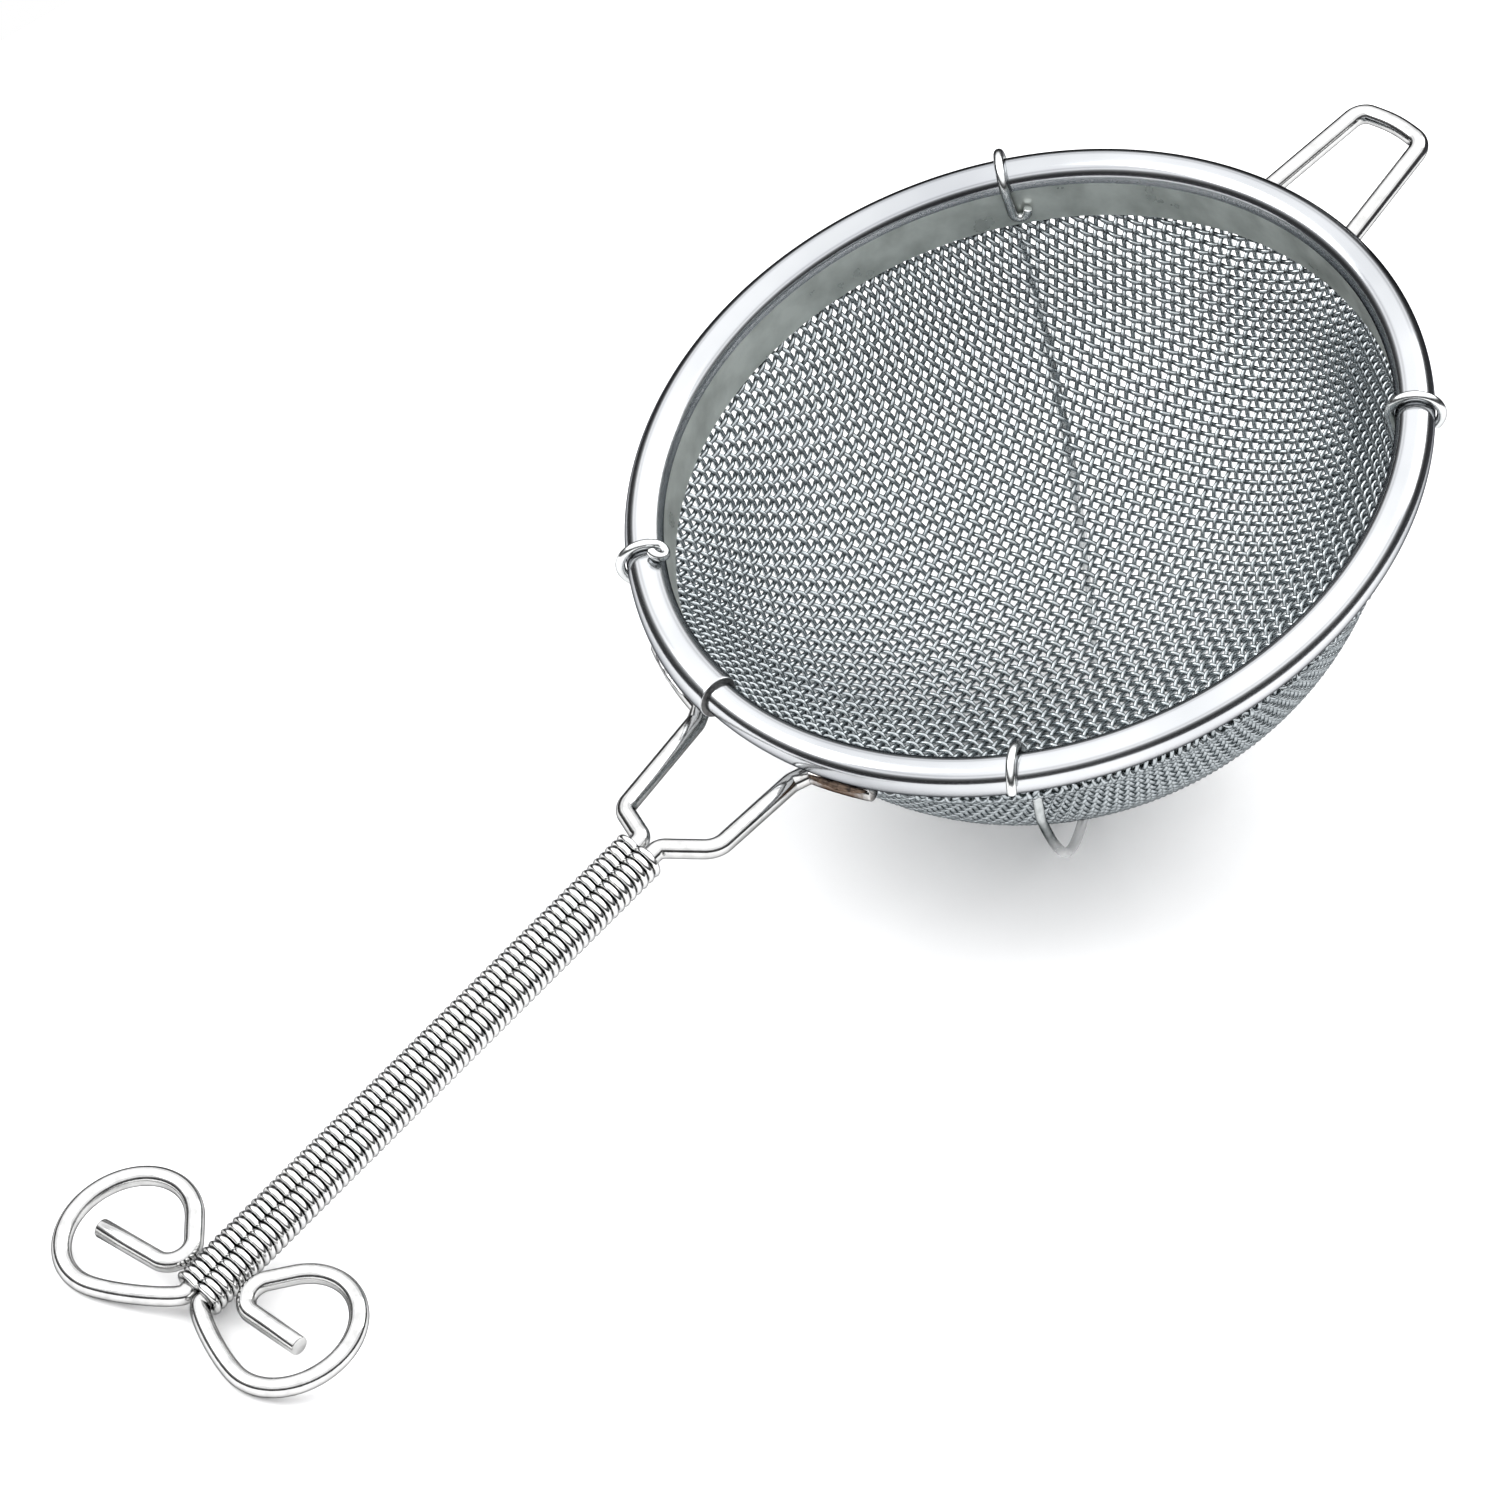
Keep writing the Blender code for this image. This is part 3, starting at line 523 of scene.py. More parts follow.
def joined(parts):
    """Several (points, quads, tris) as one."""
    vs, qs, ts, base = [], [], [], 0
    for v, q, t in parts:
        vs.append(v)
        qs.append(q + base)
        ts.append(t + base)
        base += len(v)
    return np.concatenate(vs), np.concatenate(qs), np.concatenate(ts)


def cut_wire(points, radius, edge=0.16 * MM):
    """Points and radii of a wire whose sheared ends have a worn edge."""
    p = np.array([list(q) for q in points])
    a = p[0] - p[1]
    b = p[-1] - p[-2]
    a /= np.linalg.norm(a)
    b /= np.linalg.norm(b)
    head = [p[0], p[0] - a * edge * 0.35, p[0] - a * edge]
    tail = [p[-1] - b * edge, p[-1] - b * edge * 0.35, p[-1]]
    body = p[(np.linalg.norm(p - p[0], axis=1) > edge * 1.5) & (np.linalg.norm(p - p[-1], axis=1) > edge * 1.5)]
    pts = np.concatenate([head, body, tail])
    radii = np.full(len(pts), radius)
    radii[[0, -1]] = radius - edge
    radii[[1, -2]] = radius - edge * 0.32
    return pts, radii


def wire(name, points, radius, sides=22):
    pts, radii = cut_wire(points, radius)
    v, q, t = tube_arrays(pts, radii, sides)
    obj = new_mesh(name, placed(v), q, t)
    obj.data.set_sharp_from_angle(angle=math.radians(50.0))
    return obj


# ------------------------------------------------------------ rim
def build_rim():
    """Rolled bead and skirt, lapped at the seam beside the handle."""
    count = 640
    angles = [(SEAM_ANGLE, -SEAM_TUCK)]
    for k in range(1, count):
        run = 2 * math.pi * k / count
        angles.append((SEAM_ANGLE + run, seam_swell(run)))
    # the lapping end is cut clean, its edge worn a little
    full = SEAM_ANGLE + 2 * math.pi
    angles += [(full - 0.0034, SEAM_STEP), (full - 0.0018, SEAM_STEP - 0.03 * MM), (full - 0.0008, SEAM_STEP - 0.12 * MM)]
    rings = []
    for angle, swell in angles:
        section = rim_section(swell)
        c, s = math.cos(angle), math.sin(angle)
        rings.append([(r * c, r * s, z) for r, z in section])
    v = np.array(rings)
    m, n = v.shape[0], v.shape[1]
    i = np.arange(m)[:, None]
    j = np.arange(n)[None, :]
    i2, j2 = (i + 1) % m, (j + 1) % n
    quads = np.stack([i * n + j, i2 * n + j, i2 * n + j2, i * n + j2], axis=-1).reshape(-1, 4)
    obj = new_mesh("rim_roll", placed(v.reshape(-1, 3)), quads)
    obj.data.set_sharp_from_angle(angle=math.radians(40.0))
    # the skirt faces, past the end of the round bead, take the satin slot
    col = np.broadcast_to(j, (m, n)).reshape(-1)
    slots = np.where((col >= n - 4) | (col == n - 1), 1, 0).astype(np.int32)
    # painted shade: the step face at the lap joint, where the last ring meets the first, takes the dark slot
    slots[(np.broadcast_to(i, (m, n)).reshape(-1) == m - 1)] = 2
    return obj, slots


# ------------------------------------------------------------ woven cloth
CLOTH_PITCH = 1.55 * MM
CLOTH_R = 0.37 * MM
CLOTH_CRIMP = 0.285 * MM
CLOTH_TURN = math.radians(16.0)  # the warp's heading from the handle's axis
CLOTH_TOP = -3.05 * MM


def cloth_surface():
    """Arc length from the pole, radius and height of the cloth's mid surface."""
    z = np.concatenate([
        -BOWL_DEPTH * np.cos(np.linspace(0.0, math.acos(-BOWL_COLLAR_LOW / BOWL_DEPTH), 600)),
        np.linspace(BOWL_COLLAR_LOW + 0.01 * MM, 12 * MM, 400),
    ])
    r = np.array([bowl_radius(min(h, 0.0)) for h in z])
    dr, dz = np.gradient(r), np.gradient(z)
    run = np.hypot(dr, dz)
    r = r - dz / run * BOWL_T / 2
    z = z + dr / run * BOWL_T / 2
    r[0], z[0] = 0.0, -BOWL_DEPTH + BOWL_T / 2
    keep = np.concatenate([[True], r[1:] > 0.05 * MM])
    r, z = r[keep], z[keep]
    s = np.concatenate([[0.0], np.cumsum(np.hypot(np.diff(r), np.diff(z)))])
    return s, r, z


SURF_S, SURF_R, SURF_Z = cloth_surface()


def on_cloth(a, b):
    s = math.hypot(a, b)
    r = float(np.interp(s, SURF_S, SURF_R))
    z = float(np.interp(s, SURF_S, SURF_Z))
    if s < 1e-9:
        return np.array([0.0, 0.0, z])
    return np.array([r * a / s, r * b / s, z])


def drape():
    """Nodes of a square cloth pressed over the bowl with its wires kept at
    full length: each node lies one pitch from its two neighbours."""
    h = CLOTH_PITCH
    size = 64
    ab = np.full((size, size, 2), np.nan)
    xyz = np.full((size, size, 3), np.nan)
    limit = float(np.interp(CLOTH_TOP, SURF_Z, SURF_S)) + 2.2 * h
    for k in range(size):
        for i, j in ((k, 0), (0, k)):
            ab[i, j] = (h * i, h * j)
            xyz[i, j] = on_cloth(*ab[i, j])
    eps = 1e-6
    for total in range(2, 2 * size - 1):
        for i in range(max(1, total - size + 1), min(size, total)):
            j = total - i
            if j < 1 or j >= size:
                continue
            p, q, c = xyz[i - 1, j], xyz[i, j - 1], ab[i - 1, j - 1]
            if np.isnan(p[0]) or np.isnan(q[0]) or np.isnan(c[0]):
                continue
            guess = ab[i - 1, j] + ab[i, j - 1] - c
            if math.hypot(*guess) > limit + 2 * h:
                continue
            w = guess.copy()
            good = False
            for _ in range(12):
                x = on_cloth(*w)
                f = np.array([np.linalg.norm(x - p) - h, np.linalg.norm(x - q) - h])
                if abs(f).max() < 1e-7:
                    good = True
                    break
                cols = []
                for d in range(2):
                    w2 = w.copy()
                    w2[d] += eps
                    x2 = on_cloth(*w2)
                    cols.append((np.array([np.linalg.norm(x2 - p) - h, np.linalg.norm(x2 - q) - h]) - f) / eps)
                jac = np.array(cols).T
                det = jac[0, 0] * jac[1, 1] - jac[0, 1] * jac[1, 0]
                if abs(det) < 0.03:
                    break
                step = np.linalg.solve(jac, f)
                length = np.linalg.norm(step)
                if length > 0.6 * h:
                    step *= 0.6 * h / length
                w = w - step
            if not good or np.linalg.norm(w - c) < 0.5 * h:
                w = guess
            if math.hypot(*w) > limit:
                continue
            ab[i, j] = w
            xyz[i, j] = on_cloth(*w)
    return ab


def cloth_nodes():
    """The four quarters of the drape put together, indexed -63..63."""
    ab = drape()
    size = ab.shape[0]
    full = np.full((2 * size - 1, 2 * size - 1, 2), np.nan)
    mid = size - 1
    for si in (1, -1):
        for sj in (1, -1):
            for i in range(size):
                for j in range(size):
                    full[mid + si * i, mid + sj * j] = (ab[i, j, 0] * si, ab[i, j, 1] * sj)
    c, s = math.cos(CLOTH_TURN), math.sin(CLOTH_TURN)
    a, b = full[..., 0].copy(), full[..., 1].copy()
    full[..., 0], full[..., 1] = a * c - b * s, a * s + b * c
    return full


def surface_points(ab):
    """Points and outward normals of the cloth for an (n, 2) array."""
    s = np.hypot(ab[:, 0], ab[:, 1])
    r = np.interp(s, SURF_S, SURF_R)
    z = np.interp(s, SURF_S, SURF_Z)
    e = 0.4 * MM
    lo, hi = np.maximum(s - e, 0.0), s + e
    dr = np.interp(hi, SURF_S, SURF_R) - np.interp(lo, SURF_S, SURF_R)
    dz = np.interp(hi, SURF_S, SURF_Z) - np.interp(lo, SURF_S, SURF_Z)
    run = np.hypot(dr, dz)
    safe = np.maximum(s, 1e-9)
    cx, cy = ab[:, 0] / safe, ab[:, 1] / safe
    pts = np.stack([r * cx, r * cy, z], axis=1)
    nrm = np.stack([dz / run * cx, dz / run * cy, -dr / run], axis=1)
    return pts, nrm


def cloth_wires(full, along, sides=7, per=4):
    """Tube arrays of every wire in one direction, over and under the others."""
    size = full.shape[0]
    mid = size // 2
    top = float(np.interp(CLOTH_TOP, SURF_Z, SURF_S))
    out = []
    for line in range(size):
        row = full[:, line] if along == 0 else full[line]
        ok = ~np.isnan(row[:, 0])
        if not ok[mid]:
            continue
        lo = mid
        while lo > 0 and ok[lo - 1]:
            lo -= 1
        hi = mid
        while hi < size - 1 and ok[hi + 1]:
            hi += 1
        if hi - lo < 4:
            continue
        node = row[lo:hi + 1]
        index = np.arange(lo, hi + 1)
        # Catmull-Rom through the nodes
        n = len(node)
        ext = np.concatenate([[2 * node[0] - node[1]], node, [2 * node[-1] - node[-2]]])
        seg = []
        place = []
        for m in range(per):
            u = m / per
            p0, p1, p2, p3 = ext[:-3], ext[1:-2], ext[2:-1], ext[3:]
            seg.append(0.5 * (2 * p1 + (p2 - p0) * u + (2 * p0 - 5 * p1 + 4 * p2 - p3) * u * u
                              + (3 * p1 - p0 - 3 * p2 + p3) * u ** 3))
            place.append(index[:-1] + u)
        ab = np.stack(seg, axis=1).reshape(-1, 2)
        pos = np.stack(place, axis=1).reshape(-1)
        ab = np.concatenate([ab, node[-1:]])
        pos = np.concatenate([pos, index[-1:]])
        s = np.hypot(ab[:, 0], ab[:, 1])
        inside = s <= top
        if inside.sum() < 8:
            continue
        pts, nrm = surface_points(ab)
        sign = 1.0 if along == 0 else -1.0
        wave = np.cos(math.pi * (pos + line)) * sign
        # a crimp a little flatter than a sine, as rolled cloth has
        wave = np.sign(wave) * np.abs(wave) ** 0.8
        pts = pts + nrm * (wave * CLOTH_CRIMP)[:, None]
        runs = np.where(inside)[0]
        a, b = runs[0], runs[-1]
        pts, nrm = pts[a:b + 1], nrm[a:b + 1]
        out.append(tube_arrays(pts, CLOTH_R, sides, nrm))
    return out


def build_cloth():
    full = cloth_nodes()
    pieces = []
    for along, label in ((0, "warp"), (1, "weft")):
        tubes = cloth_wires(full, along)
        total = sum(2 * len(q) + len(t) for _, q, t in tubes)
        groups = int(total // 170000) + 1
        share = total / groups
        group, count, number = [], 0, 1
        for tube in tubes:
            group.append(tube)
            count += 2 * len(tube[1]) + len(tube[2])
            if count >= share and number < groups:
                v, q, t = joined(group)
                pieces.append(new_mesh("cloth_%s_%d" % (label, number), placed(v), q, t))
                group, count, number = [], 0, number + 1
        v, q, t = joined(group)
        pieces.append(new_mesh("cloth_%s_%d" % (label, number), placed(v), q, t))
    return pieces


# ------------------------------------------------------------ grip wrap
def wrap_point(share):
    """Point of the wrap's section at a share of its length, with its dip in
    the groove between the two grip wires."""
    k = share * (len(WRAP_Y) - 1)
    return np.interp(k, np.arange(len(WRAP_Y)), WRAP_Y), np.interp(k, np.arange(len(WRAP_Y)), WRAP_Z)


def wrap_table():
    """Evenly spaced points round the section: two lobes and a soft waist."""
    groove = math.sqrt(COIL_REACH**2 - CORE_Y**2)
    pts = []
    for k in range(41):
        a = math.radians(-97.0 + 194.0 * k / 40)
        pts.append((CORE_Y + COIL_REACH * math.cos(a), COIL_REACH * math.sin(a)))
    y1, z1 = pts[-1]
    dip = groove - 0.14 * MM
    for k in range(1, 8):
        u = k / 8
        y = y1 * (1 - u)
        pts.append((y, dip + (z1 - dip) * (y / y1) ** 2))
    pts.append((0.0, dip))
    half = pts[:]
    y0, z0 = half[0]
    lead = []
    for k in range(7, 0, -1):
        u = k / 8
        y = y0 * (1 - u)
        lead.append((y, -(dip + (-z0 - dip) * (y / y0) ** 2)))
    right = [(0.0, -dip)] + lead + half
    left = [(-y, -z) for y, z in right[1:]]
    ring = np.array(right + left)
    # the turns keep clear of both grip wires
    clear = WIRE_R + COIL_WIRE_R * 0.96 + 0.02 * MM
    for side in (CORE_Y, -CORE_Y):
        core = np.array([side, 0.0])
        away = ring - core
        gap = np.hypot(away[:, 0], away[:, 1])[:, None]
        ring = np.where(gap < clear, core + away * clear / gap, ring)
    d = np.concatenate([[0.0], np.cumsum(np.hypot(*np.diff(ring, axis=0).T))])
    even = np.linspace(0.0, d[-1], 241)
    return np.interp(even, d, ring[:, 0]), np.interp(even, d, ring[:, 1])


WRAP_Y, WRAP_Z = wrap_table()


def build_wrap():
    per = 44
    count = int(COIL_TURNS * per)
    k = np.arange(count + 1)
    y, z = wrap_point((k / per) % 1.0)
    turn = k / per
    rng = np.random.default_rng(7)
    jitter = np.interp(turn, np.arange(0, 76), rng.normal(0.0, 0.018 * MM, 76))
    x = COIL_X0 - COIL_PITCH * turn + jitter
    v, q, t = tube_arrays(np.stack([x, y, z], axis=1), COIL_WIRE_R * 0.96, 12)
    return new_mesh("grip_wrap", placed(v), q, t)


# ------------------------------------------------------------ welds
def build_weld(name, angle, tail, swell, seed):
    path = np.array([list(p) for p in weld_path(angle, WELD_SPAN, tail, swell)])
    rng = np.random.default_rng(seed)
    u = np.linspace(0.0, 1.0, len(path))
    swell = np.sin(math.pi * np.clip(u, 0.02, 0.98)) ** 0.45
    lumps = np.interp(u, np.linspace(0, 1, 9), 1.0 + rng.normal(0.0, 0.10, 9))
    v, q, t = tube_arrays(path, WELD_R * 1.10 * swell * lumps, 16)
    return new_mesh(name, placed(v), q, t)


# ------------------------------------------------------------ materials
def nodes_of(name):
    mat = bpy.data.materials.new(name)
    mat.use_nodes = True
    tree = mat.node_tree
    shader = tree.nodes["Principled BSDF"]
    return mat, tree, shader


def metal(name, colour, dark, rough, rough_span, scale, bump, bump_scale, stretch=(1.0, 1.0, 1.0)):
    """Steel whose tone, polish and surface vary softly with position."""
    mat, tree, shader = nodes_of(name)
    shader.inputs["Metallic"].default_value = 1.0
    shader.inputs["Specular Tint"].default_value = (0.05, 0.05, 0.055, 1.0)
    coord = tree.nodes.new("ShaderNodeTexCoord")
    mapping = tree.nodes.new("ShaderNodeMapping")
    mapping.inputs["Scale"].default_value = stretch
    tree.links.new(coord.outputs["Object"], mapping.inputs["Vector"])
    noise = tree.nodes.new("ShaderNodeTexNoise")
    noise.inputs["Scale"].default_value = scale
    noise.inputs["Detail"].default_value = 4.0
    tree.links.new(mapping.outputs["Vector"], noise.inputs["Vector"])
    tone = tree.nodes.new("ShaderNodeMix")
    tone.data_type = "RGBA"
    tone.inputs["A"].default_value = (*dark, 1.0)
    tone.inputs["B"].default_value = (*colour, 1.0)
    ramp = tree.nodes.new("ShaderNodeMapRange")
    ramp.inputs["From Min"].default_value = 0.30
    ramp.inputs["From Max"].default_value = 0.62
    tree.links.new(noise.outputs["Fac"], ramp.inputs["Value"])
    tree.links.new(ramp.outputs["Result"], tone.inputs["Factor"])
    tree.links.new(tone.outputs["Result"], shader.inputs["Base Color"])
    polish = tree.nodes.new("ShaderNodeMapRange")
    polish.inputs["From Min"].default_value = 0.3
    polish.inputs["From Max"].default_value = 0.7
    polish.inputs["To Min"].default_value = rough
    polish.inputs["To Max"].default_value = rough + rough_span
    tree.links.new(noise.outputs["Fac"], polish.inputs["Value"])
    tree.links.new(polish.outputs["Result"], shader.inputs["Roughness"])
    if bump > 0.0:
        fine = tree.nodes.new("ShaderNodeTexNoise")
        fine.inputs["Scale"].default_value = bump_scale
        fine.inputs["Detail"].default_value = 3.0
        tree.links.new(mapping.outputs["Vector"], fine.inputs["Vector"])
        bumper = tree.nodes.new("ShaderNodeBump")
        bumper.inputs["Strength"].default_value = bump
        bumper.inputs["Distance"].default_value = 0.0002
        tree.links.new(fine.outputs["Fac"], bumper.inputs["Height"])
        tree.links.new(bumper.outputs["Normal"], shader.inputs["Normal"])
    return mat, tree, shader, tone


def heat_tint_and_wrap_shade(name, base, spots, span, tint):
    """Steel with a heat-tinted patch round each spot (row-frame points), and painted shade, near black, where the wire
    runs inside the grip wrap.
    """
    mat, tree, shader, tone = metal(name, base, tuple(c * 0.82 for c in base), 0.10, 0.05, 500.0, 0.04, 2600.0)
    geo = tree.nodes.new("ShaderNodeNewGeometry")
    rough_noise = tree.nodes.new("ShaderNodeTexNoise")
    rough_noise.inputs["Scale"].default_value = 1400.0
    rough_noise.inputs["Detail"].default_value = 5.0
    coord = tree.nodes.new("ShaderNodeTexCoord")
    tree.links.new(coord.outputs["Object"], rough_noise.inputs["Vector"])
    last = tone.outputs["Result"]
    for spot in spots:
        dist = tree.nodes.new("ShaderNodeVectorMath")
        dist.operation = "DISTANCE"
        dist.inputs[1].default_value = spot
        tree.links.new(geo.outputs["Position"], dist.inputs[0])
        wobble = tree.nodes.new("ShaderNodeMath")
        wobble.operation = "MULTIPLY_ADD"
        wobble.inputs[1].default_value = span * 0.9
        tree.links.new(rough_noise.outputs["Fac"], wobble.inputs[0])
        tree.links.new(dist.outputs["Value"], wobble.inputs[2])
        reach = tree.nodes.new("ShaderNodeMapRange")
        reach.interpolation_type = "SMOOTHSTEP"
        reach.inputs["From Min"].default_value = span * 0.75
        reach.inputs["From Max"].default_value = span * 1.6
        reach.inputs["To Min"].default_value = 0.92
        reach.inputs["To Max"].default_value = 0.0
        tree.links.new(wobble.outputs["Value"], reach.inputs["Value"])
        mix = tree.nodes.new("ShaderNodeMix")
        mix.data_type = "RGBA"
        mix.inputs["B"].default_value = (*tint, 1.0)
        tree.links.new(reach.outputs["Result"], mix.inputs["Factor"])
        tree.links.new(last, mix.inputs["A"])
        last = mix.outputs["Result"]
    # painted shade: the wire turns near black where it runs inside the wrap
    along = tree.nodes.new("ShaderNodeSeparateXYZ")
    tree.links.new(geo.outputs["Position"], along.inputs["Vector"])
    covers = []
    for edge, way in ((GRIP_SPAN[0], 1.0), (GRIP_SPAN[1], -1.0)):
        side = tree.nodes.new("ShaderNodeMapRange")
        side.inputs["From Min"].default_value = edge
        side.inputs["From Max"].default_value = edge + way * 0.6 * MM
        tree.links.new(along.outputs["X"], side.inputs["Value"])
        covers.append(side)
    off_axis = tree.nodes.new("ShaderNodeMath")
    off_axis.operation = "ABSOLUTE"
    tree.links.new(along.outputs["Y"], off_axis.inputs[0])
    near_axis = tree.nodes.new("ShaderNodeMath")
    near_axis.operation = "LESS_THAN"
    near_axis.inputs[1].default_value = 3.8 * MM
    tree.links.new(off_axis.outputs["Value"], near_axis.inputs[0])
    pair = tree.nodes.new("ShaderNodeMath")
    pair.operation = "MULTIPLY"
    tree.links.new(covers[0].outputs["Result"], pair.inputs[0])
    tree.links.new(covers[1].outputs["Result"], pair.inputs[1])
    both = tree.nodes.new("ShaderNodeMath")
    both.operation = "MULTIPLY"
    tree.links.new(pair.outputs["Value"], both.inputs[0])
    tree.links.new(near_axis.outputs["Value"], both.inputs[1])
    # near-black colour of the painted shade inside the wrap
    mix = tree.nodes.new("ShaderNodeMix")
    mix.data_type = "RGBA"
    mix.inputs["B"].default_value = (0.035, 0.035, 0.035, 1.0)
    tree.links.new(both.outputs["Value"], mix.inputs["Factor"])
    tree.links.new(last, mix.inputs["A"])
    tree.links.new(mix.outputs["Result"], shader.inputs["Base Color"])
    return mat


def set_material(obj, *mats, slots=None):
    obj.data.materials.clear()
    for mat in mats:
        obj.data.materials.append(mat)
    if slots is not None:
        obj.data.polygons.foreach_set("material_index", slots)


# ------------------------------------------------------------ the strainer
left = handle_path(1.0, LEFT_PRONG)
right = handle_path(-1.0, RIGHT_PRONG)
ends_a = (("through", (-0.98 * MM, -2.58 * MM), math.radians(4.0)), ("inward", "curl"))
ends_b = (("inward", "eye"), ("through", (-0.3 * MM, -0.5 * MM), math.radians(-52.0)))
cross_a = crossing_run(A_NEAR, A_FAR, B_NEAR, B_FAR)
cross_b = crossing_run(B_NEAR, B_FAR, A_NEAR, A_FAR)


def path_b(depth):
    return support_path(B_NEAR, B_FAR, depth, SUP_POWER_B, SUP_JOGGLE_B, 0.0, cross_b, *ends_b)


wire_a = support_path(A_NEAR, A_FAR, SUP_DEPTH, SUP_POWER_A, SUP_JOGGLE_A, SUP_SWAY, cross_a, *ends_a)
floor_level = lowest(wire_a, SUP_R, REST_TILT)
depth_b = bisect(lambda d: lowest(path_b(d), SUP_R, REST_TILT) - floor_level, 50.0 * MM, 60.0 * MM)
wire_b = path_b(depth_b)

mirror, mirror_tree, mirror_shader, _ = metal(
    "mirror_band", (0.60, 0.612, 0.625), (0.37, 0.382, 0.40), 0.12, 0.08, 16.0, 0.02, 260.0)
satin, _, satin_shader, _ = metal("satin_skirt", (0.66, 0.70, 0.665), (0.42, 0.45, 0.425), 0.26, 0.10, 160.0, 0.0, 3000.0)
satin_shader.inputs["Metallic"].default_value = 0.6
wrap_mat, _, _, _ = metal("wrap_steel", (0.80, 0.80, 0.79), (0.62, 0.625, 0.63), 0.10, 0.06, 900.0, 0.05, 3000.0)
cloth_mat, _, _, _ = metal("cloth_steel", (0.425, 0.455, 0.47), (0.29, 0.315, 0.325), 0.18, 0.10, 1600.0, 0.05, 4000.0)
support_mat, support_tree, support_shader, support_tone = metal(
    "support_steel", (0.42, 0.44, 0.44), (0.31, 0.33, 0.33), 0.16, 0.08, 900.0, 0.05, 3000.0)
# painted light: low down, where the wire lies in the bowl's shade, it is mixed to near white and made less metallic
# (fully below 16 mm, not above 26 mm); above 33 mm it is mixed part way to near white too
support_place = support_tree.nodes.new("ShaderNodeNewGeometry")
support_split = support_tree.nodes.new("ShaderNodeSeparateXYZ")
support_tree.links.new(support_place.outputs["Position"], support_split.inputs["Vector"])
support_painted_light = support_tree.nodes.new("ShaderNodeMapRange")
support_painted_light.inputs["From Min"].default_value = 26.0 * MM
support_painted_light.inputs["From Max"].default_value = 16.0 * MM
support_tree.links.new(support_split.outputs["Z"], support_painted_light.inputs["Value"])
support_clip = support_tree.nodes.new("ShaderNodeMapRange")
support_clip.inputs["From Min"].default_value = 33.0 * MM
support_clip.inputs["From Max"].default_value = 40.0 * MM
support_clip.inputs["To Max"].default_value = 0.6
support_tree.links.new(support_split.outputs["Z"], support_clip.inputs["Value"])
support_lighter_parts = support_tree.nodes.new("ShaderNodeMath")
support_lighter_parts.operation = "MAXIMUM"
support_tree.links.new(support_painted_light.outputs["Result"], support_lighter_parts.inputs[0])
support_tree.links.new(support_clip.outputs["Result"], support_lighter_parts.inputs[1])
support_mix = support_tree.nodes.new("ShaderNodeMix")
support_mix.data_type = "RGBA"
support_mix.inputs["B"].default_value = (0.90, 0.91, 0.91, 1.0)
support_tree.links.new(support_lighter_parts.outputs["Value"], support_mix.inputs["Factor"])
support_tree.links.new(support_tone.outputs["Result"], support_mix.inputs["A"])
support_tree.links.new(support_mix.outputs["Result"], support_shader.inputs["Base Color"])
# the painted light low down also lowers the metallic value
support_painted_light_metal = support_tree.nodes.new("ShaderNodeMapRange")
support_painted_light_metal.inputs["To Min"].default_value = 1.0
support_painted_light_metal.inputs["To Max"].default_value = 0.35
support_tree.links.new(support_painted_light.outputs["Result"], support_painted_light_metal.inputs["Value"])
support_tree.links.new(support_painted_light_metal.outputs["Result"], support_shader.inputs["Metallic"])
weld_mat, _, weld_shader, _ = metal("weld_scale", (0.20, 0.145, 0.11), (0.05, 0.04, 0.035), 0.38, 0.20, 1500.0, 0.5, 2600.0)
weld_clean, _, _, _ = metal("weld_clean", (0.55, 0.55, 0.55), (0.42, 0.42, 0.42), 0.18, 0.12, 1500.0, 0.3, 2600.0)
# dark step face of the lap joint: painted shade of the gap between the two ends
lap_step_shade_mat, _, _, _ = metal("lap_step_painted_shade", (0.18, 0.18, 0.18), (0.08, 0.08, 0.08), 0.40, 0.15, 1500.0, 0.3, 2600.0)

GRIP_SPAN = (float(placed([[COIL_X0 - COIL_PITCH * COIL_TURNS, 0.0, 0.0]])[0][0]) + 0.3 * MM,
             float(placed([[COIL_X0, 0.0, 0.0]])[0][0]) - 0.3 * MM)
seam_right = placed([[TAIL_R * math.cos(RIGHT_WELD), TAIL_R * math.sin(RIGHT_WELD), TAIL_Z]])[0]
seam_left = placed([[TAIL_R * math.cos(LEFT_WELD), TAIL_R * math.sin(LEFT_WELD), TAIL_Z]])[0]
hook_angle = math.asin(HOOK_Y_RIM / TAIL_R) + HOOK_TAIL * 0.6
hook_spots = [placed([[TAIL_R * math.cos(a), TAIL_R * math.sin(a), TAIL_Z]])[0] for a in (hook_angle, -hook_angle)]
# the handle wires carry painted shade inside the wrap as well as their heat tint
right_wire_tint_and_shade = heat_tint_and_wrap_shade("handle_wire_tint_and_shade", (0.60, 0.60, 0.595), [tuple(seam_right)], 6.0 * MM, (0.13, 0.09, 0.065))
left_wire_tint_and_shade = heat_tint_and_wrap_shade("handle_wire_left_tint_and_shade", (0.60, 0.60, 0.595), [tuple(seam_left)], 2.0 * MM, (0.36, 0.34, 0.32))
tint_hook = heat_tint_and_wrap_shade("hook_wire_tinted", (0.60, 0.60, 0.595), [tuple(p) for p in hook_spots], 2.0 * MM, (0.36, 0.34, 0.32))


def add_piece(obj, node, slot, *mats, slots=None):
    set_material(obj, *mats, slots=slots)
    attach(obj, "root")
    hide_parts(node)
    return obj


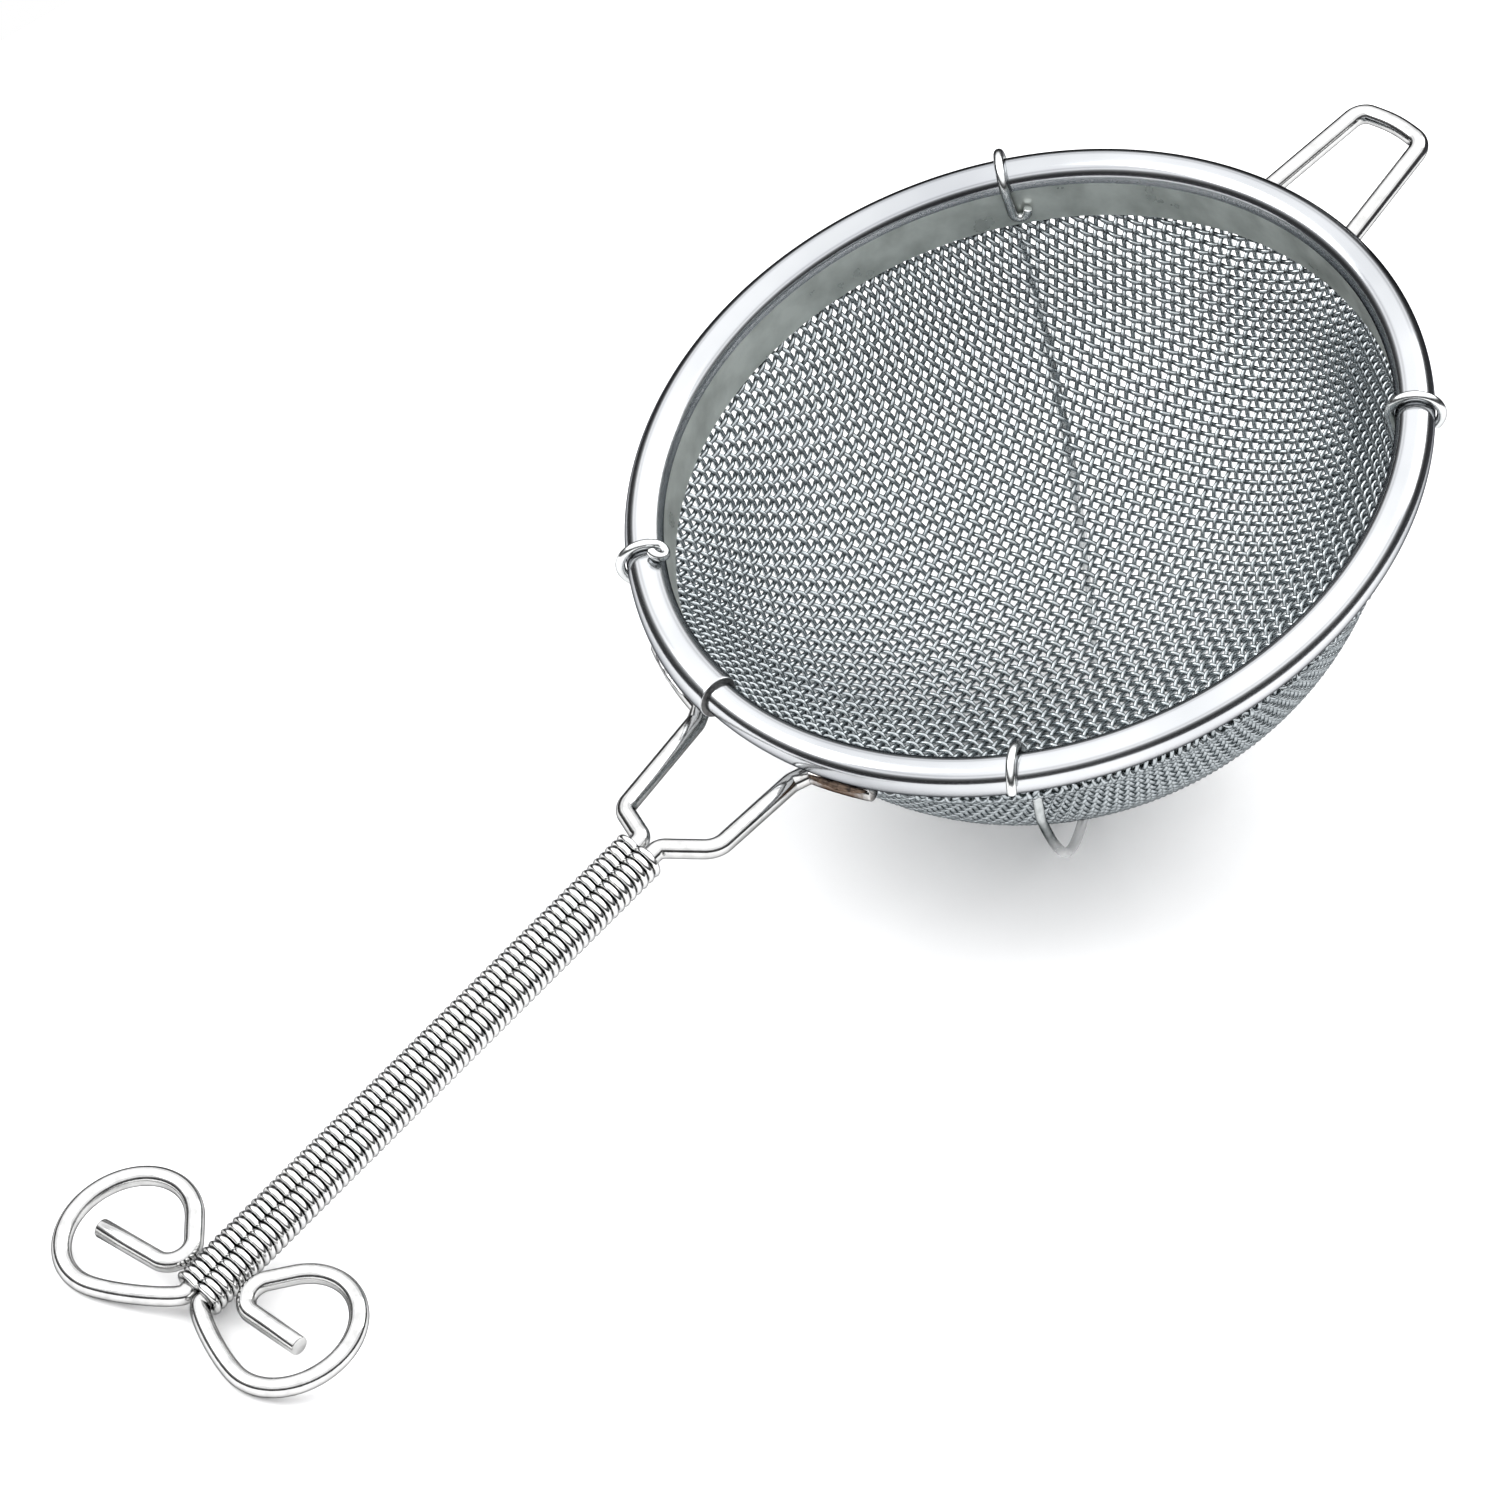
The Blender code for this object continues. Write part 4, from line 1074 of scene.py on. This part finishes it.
rim, rim_slots = build_rim()
add_piece(rim, "rim_band", "polished_band", mirror, satin, lap_step_shade_mat, slots=rim_slots)
for piece in build_cloth():
    add_piece(piece, "mesh_basket", "woven_cloth", cloth_mat)
add_piece(wire("handle_left", left, WIRE_R), "handle_wire_left", "frame_wire", left_wire_tint_and_shade)
add_piece(wire("handle_right", right, WIRE_R), "handle_wire_right", "frame_wire", right_wire_tint_and_shade)
add_piece(wire("hook_wire", hook_path(), WIRE_R), "pan_hook", "frame_wire", tint_hook)
add_piece(build_wrap(), "grip_coil", "wrap_wire", wrap_mat)
add_piece(wire("support_a", wire_a, SUP_R, 16), "support_wire_a", "support_wire", support_mat)
add_piece(wire("support_b", wire_b, SUP_R, 16), "support_wire_b", "support_wire", support_mat)
under = (TAIL_R, TAIL_Z)
for label, node, angle, tail, swell, seed in (
        ("weld_handle_left", "handle_weld_left", LEFT_WELD, LEFT_PRONG["tail"], SEAM_STEP, 1),
        ("weld_handle_right", "handle_weld_right", RIGHT_WELD, RIGHT_PRONG["tail"], 0.0, 2),
        ("weld_hook_left", "hook_weld_left", hook_angle, under, 0.0, 3),
        ("weld_hook_right", "hook_weld_right", -hook_angle, under, 0.0, 4)):
    add_piece(build_weld(label, angle, tail, swell, seed), node, "weld_metal", weld_mat if seed == 2 else weld_clean)


# ------------------------------------------------------------ stage
def build_stage():
    scene = bpy.context.scene
    size = 0.25
    v = [(-size, -size, 0), (size, -size, 0), (size, size, 0), (-size, size, 0)]
    floor = new_mesh("studio_floor", np.array(v) - np.array([0, 0, 0.00002]), [[0, 1, 2, 3]])
    mat, tree, shader = nodes_of("pale_floor")
    shader.inputs["Base Color"].default_value = (0.96, 0.96, 0.96, 1.0)
    shader.inputs["Roughness"].default_value = 0.85
    shader.inputs["Specular IOR Level"].default_value = 0.1
    set_material(floor, mat)

    world = bpy.data.worlds.new("studio")
    scene.world = world
    world.use_nodes = True
    tree = world.node_tree
    tree.nodes.clear()
    out = tree.nodes.new("ShaderNodeOutputWorld")
    back = tree.nodes.new("ShaderNodeBackground")
    plain = tree.nodes.new("ShaderNodeBackground")
    plain.inputs["Color"].default_value = (1.0, 1.0, 1.0, 1.0)
    path = tree.nodes.new("ShaderNodeLightPath")
    pick = tree.nodes.new("ShaderNodeMixShader")
    coord = tree.nodes.new("ShaderNodeTexCoord")
    split = tree.nodes.new("ShaderNodeSeparateXYZ")
    tree.links.new(coord.outputs["Generated"], split.inputs["Vector"])
    ramp = tree.nodes.new("ShaderNodeValToRGB")
    lift = tree.nodes.new("ShaderNodeMapRange")
    lift.inputs["From Min"].default_value = -0.2
    lift.inputs["From Max"].default_value = 1.0
    tree.links.new(split.outputs["Z"], lift.inputs["Value"])
    tree.links.new(lift.outputs["Result"], ramp.inputs["Fac"])
    stops = ramp.color_ramp.elements
    stops[0].position, stops[0].color = 0.0, (0.05, 0.05, 0.055, 1.0)
    stops[1].position, stops[1].color = 1.0, (1.0, 1.0, 1.0, 1.0)
    for place, value in ((0.235, 0.02), (0.33, 0.05), (0.42, 0.13), (0.49, 0.36), (0.55, 1.0), (0.655, 0.60), (0.73, 1.0)):
        stop = stops.new(place)
        stop.color = (value, value, value * 1.01, 1.0)
    tree.links.new(ramp.outputs["Color"], back.inputs["Color"])
    back.inputs["Strength"].default_value = 1.9
    tree.links.new(path.outputs["Is Camera Ray"], pick.inputs["Fac"])
    tree.links.new(back.outputs["Background"], pick.inputs[1])
    tree.links.new(plain.outputs["Background"], pick.inputs[2])
    tree.links.new(pick.outputs["Shader"], out.inputs["Surface"])

    def area(name, place, aim, width, height, power):
        light = bpy.data.lights.new(name, "AREA")
        light.shape = "RECTANGLE"
        light.size, light.size_y = width, height
        light.energy = power
        obj = bpy.data.objects.new(name, light)
        obj.location = place
        way = Vector(aim) - Vector(place)
        obj.rotation_euler = way.to_track_quat("-Z", "Y").to_euler()
        scene.collection.objects.link(obj)

    area("key_light", (-0.9, 0.9, 1.3), (0, 0, 0.03), 1.2, 1.0, 14.0)
    area("fill_light", (1.2, -0.3, 1.0), (0, 0, 0.03), 1.0, 1.0, 8.0)


def build_camera():
    """Long-lens view from the handle's right, above the rim."""
    right_way = Vector((0.66573656, -0.7065154, -0.24006421))
    down_way = Vector((-0.66268288, -0.41191817, -0.6254397))
    eye = Vector((-0.79602997, -1.23392899, 1.59103828))
    turn = REST.to_3x3()
    x = (turn @ right_way).normalized()
    y = -(turn @ down_way).normalized()
    z = x.cross(y).normalized()
    y = z.cross(x).normalized()
    spot = REST @ eye
    cam = bpy.data.cameras.new("camera")
    cam.lens = 360.0
    cam.sensor_width = 36.0
    cam.clip_start = 0.05
    cam.clip_end = 20.0
    obj = bpy.data.objects.new("camera", cam)
    obj.matrix_world = Matrix((
        (x.x, y.x, z.x, spot.x),
        (x.y, y.y, z.y, spot.y),
        (x.z, y.z, z.z, spot.z),
        (0.0, 0.0, 0.0, 1.0)))
    bpy.context.scene.collection.objects.link(obj)
    bpy.context.scene.camera = obj


build_stage()
build_camera()
bpy.context.scene.view_settings.view_transform = "Standard"
